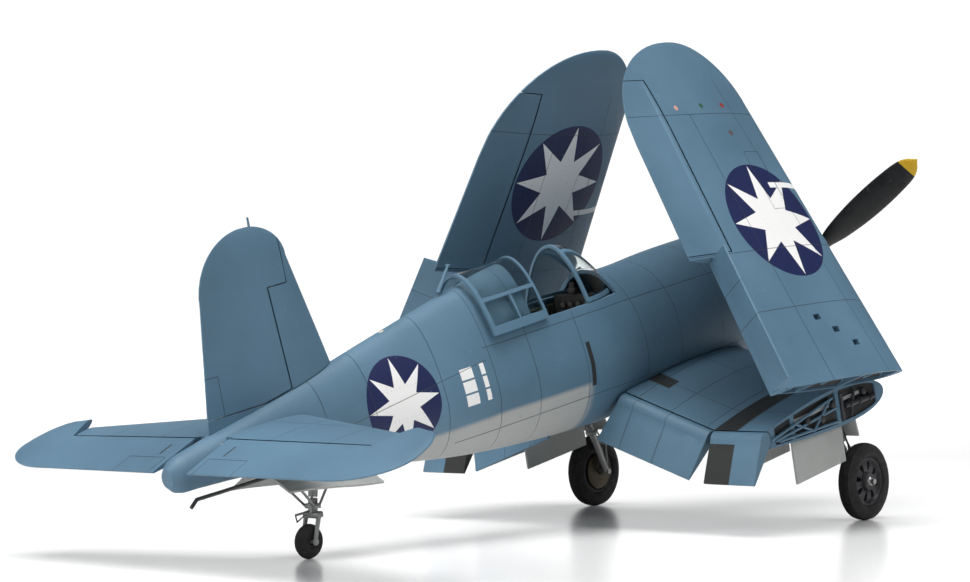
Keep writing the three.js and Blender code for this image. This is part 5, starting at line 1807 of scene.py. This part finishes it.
@dataclass
class TailGear:
    """The tail strut, its castering fork, the wheel, doors and arrestor hook."""

    top: Vector = field(default_factory=lambda: Vector((0, 267.2, -14.6)))
    foot: Vector = field(default_factory=lambda: Vector((0, 268.3, -19.6)))

    def build(self) -> None:
        """Makes every piece of the tail gear."""
        strut = [box((-3.8, 3.8), (256, 271), (-4.4, -1.4), 0.3),
                 bar((0, 264, -4), self.top, 1.35, sides=24),
                 bar((0, 265.6, -9), (0, 266.3, -11.4), 1.5, sides=24, bevel=0.2)]
        for x in (1, -1):
            strut.append(bar((2.4 * x, 257.5, -4), (0.6 * x, 266, -12.6), 0.5, sides=12))
            strut.append(bar((3.0 * x, 270, -4.2), (1.1 * x, 267, -12.4), 0.4, sides=12))
            strut.append(bar((3.0 * x, 259.5, -4.2), (3.0 * x, 262.5, -4.2), 0.6, sides=12))
        way = (self.foot - self.top).normalized()
        low, high = self.top + way * 1.9, self.top + way * 3.2
        collar = bar(low, high, 2.3, sides=32, bevel=0.1)
        strut.append(cut(collar, bar(low - way, high + way, 1.65, sides=32)))
        for x in (1, -1):
            strut.append(bar((1.95 * x, 267.0, -17.0), (3.4 * x, 257, -4.6), 0.38, sides=12))
            strut.append(bar((1.95 * x, 268.8, -17.0), (3.4 * x, 279, -3.6), 0.38, sides=12))
        finish_piece(gather(strut), "tail_strut", "airframe", "alloy", ("tail_gear_strut",))
        y, z = TAIL_WHEEL.y, TAIL_WHEEL.z
        fork = [bar(self.top + way * GAP, self.foot, 1.35, sides=24, bevel=0.2),
                box((-3.2, 3.2), (267.1, 269.5), (-20.4, -18.6), 0.4),
                bar((-3.3, y, z), (3.3, y, z), 0.55, sides=16)]
        for x in (2.55, -2.55):
            fork.append(bar((x, 268.3, -19.2), (x, y, z - 0.3), 0.7, 0.6, 16))
            fork.append(bar((x * 0.96, y, z), (x * 1.25, y, z), 1.0, sides=20, bevel=0.1))
        fork.append(bar((0.8, 269, -18.5), (1.5, 273.5, -18.3), 0.35, sides=12))
        fork.append(pipe([(1.5, 273.5, -18.3), (2.3, 272.6, -20.6), (2.3, 269.4, -19.6)], 0.22, 10))
        finish_piece(gather(fork), "caster_fork", "tail_fork", "alloy", ("tail_wheel_fork",))
        half, r = 1.6, TAIL_RADIUS
        wheel = turned([(0.95, -half + 0.3), (2.4, -half + 0.3), (2.7, -half + 0.15), (3.0, -half),
                        (3.7, -half + 0.05),
                        (4.4, -half + 0.4), (4.8, -half + 1.0), (r, -0.25), (r, 0.25), (4.8, half - 1.0),
                        (4.4, half - 0.4), (3.7, half - 0.05), (3.0, half), (2.7, half - 0.15),
                        (2.4, half - 0.3), (0.95, half - 0.3), (0.95, -half + 0.3)], 72, "X")
        finish_piece(wheel, "tail_tyre", "tail_wheel", "rubber", ("tail_wheel",),
                     Matrix.Translation(TAIL_WHEEL))
        hook = pipe([(0, 282, -4.6), (0, 300, -3.9), (0, 308.8, -3.5), (0, 311.2, -5.2)], 0.55, 14)
        finish_piece(hook, "hook_and_arm", "airframe", "engine", ("arrestor_hook",))
        for side in Side:
            self.door(side)

    def door(self, side: Side) -> None:
        """Makes one tail-gear door."""
        rings = []
        for y in steps(250, 286, 12):
            belly = smooth_at(STATIONS, y, 2)
            root = Vector((5.4, y, belly + 0.3 - (1.6 if y > 260 else 1.0 + 0.06 * (y - 250))))
            tip = root + Vector((6.2, 0, -3.8))
            thick = Vector((0.35, 0, 0.6))
            rings.append([root, tip, tip + thick, root + thick])
        finish_piece(loft(rings), f"tail_door_{side.label}", "airframe", "pale",
                     (f"tail_gear_door_{side.label}",), side_matrix(side))


# ------------------------------------------------------------------ studio
@dataclass
class Studio:
    """The floor, the lights and the camera."""

    eye: Point = (-0.46874, 0.55236, 0.06299)
    aim: Point = (0.0137, 0.01413, 0.07723)
    lens: float = 84.8
    roll: float = -0.70
    ahead: tuple[float, float] = (0.665, -0.747)
    shift: tuple[float, float] = (-0.00110, -0.00287)
    dim: float = 0.1

    def build(self) -> None:
        """Makes the whole studio."""
        self.floor()
        self.lights()
        self.camera()

    def floor(self) -> None:
        """Makes a flat pale floor whose far side behind the object glows with painted light, and the world
        round it.
        """
        clear_selection()
        bpy.ops.mesh.primitive_plane_add(size=14)
        floor = bpy.context.object
        floor.name = "studio_floor"
        finish = Finish("studio_floor", 0.22)
        tone = finish.noise(3, 2)
        color = finish.mix(tone.above(0.5, 0.6), (0.9, 0.9, 0.9), (0.93, 0.93, 0.93))
        x, y, _ = finish.place()
        # painted light: the floor emits light that rises towards its far side, so that it fades into the
        # white backdrop
        glow = (x * self.ahead[0] + y * self.ahead[1]).above(0.95, 1.1) * 0.75
        finish.shader.inputs["Emission Color"].default_value = (1, 1, 1, 1)
        finish.tree.links.new(glow.socket, finish.shader.inputs["Emission Strength"])
        floor.data.materials.append(finish.close(color))
        world = bpy.data.worlds.new("studio")
        bpy.context.scene.world = world
        bpy.context.scene.view_settings.view_transform = "Standard"
        world.use_nodes = True
        tree = world.node_tree
        background = tree.nodes["Background"]
        background.inputs["Color"].default_value = (1, 1, 1, 1)
        apart = tree.nodes.new("ShaderNodeSeparateXYZ")
        tree.links.new(tree.nodes.new("ShaderNodeTexCoord").outputs["Generated"], apart.inputs[0])
        x, y = (Wire(tree, apart.outputs[i]) for i in range(2))
        facing = x * self.ahead[0] + y * self.ahead[1]
        glow = facing.above(0.945, 0.03) * (1.06 - self.dim) + self.dim
        tree.links.new(glow.socket, background.inputs["Strength"])

    def lights(self) -> None:
        """Hangs a large soft key light, a fill and a rim light."""
        lamps = (("top", (-0.2, 0.35, 1.5), 1.2, 31.0), ("key", (-1.2, 0.1, 0.9), 0.6, 4.0),
                 ("aft_fill", (0.35, 1.2, 0.55), 1.0, 8.0))
        for name, place, size, power in lamps:
            data = bpy.data.lights.new(name, "AREA")
            data.size = size
            data.energy = power
            lamp = bpy.data.objects.new(name, data)
            bpy.context.scene.collection.objects.link(lamp)
            lamp.location = place
            lamp.rotation_euler = (Vector((0, 0, 0.06)) - Vector(place)).to_track_quat("-Z", "Y").to_euler()

    def camera(self) -> None:
        """Sets the camera behind the starboard tail, as it looks at the plane."""
        data = bpy.data.cameras.new("camera")
        data.lens = self.lens
        data.sensor_width = 36
        data.shift_x, data.shift_y = self.shift
        data.clip_start, data.clip_end = 0.01, 50
        camera = bpy.data.objects.new("camera", data)
        bpy.context.scene.collection.objects.link(camera)
        look = (Vector(self.aim) - Vector(self.eye)).to_track_quat("-Z", "Y").to_matrix().to_4x4()
        roll = Matrix.Rotation(math.radians(self.roll), 4, "Z")
        camera.matrix_world = Matrix.Translation(self.eye) @ look @ roll
        bpy.context.scene.camera = camera


def main() -> None:
    """Builds the plane piece by piece, then the studio."""
    logging.basicConfig(level=logging.INFO, format="%(message)s")
    Studio().build()
    Fuselage().build()
    Propeller().build()
    Cockpit().build()
    for side in Side:
        InnerWing(side).build()
        OuterWing(side).build()
        MainGear(side).build()
    Tail().build()
    TailGear().build()


if __name__ == "__main__":
    main()
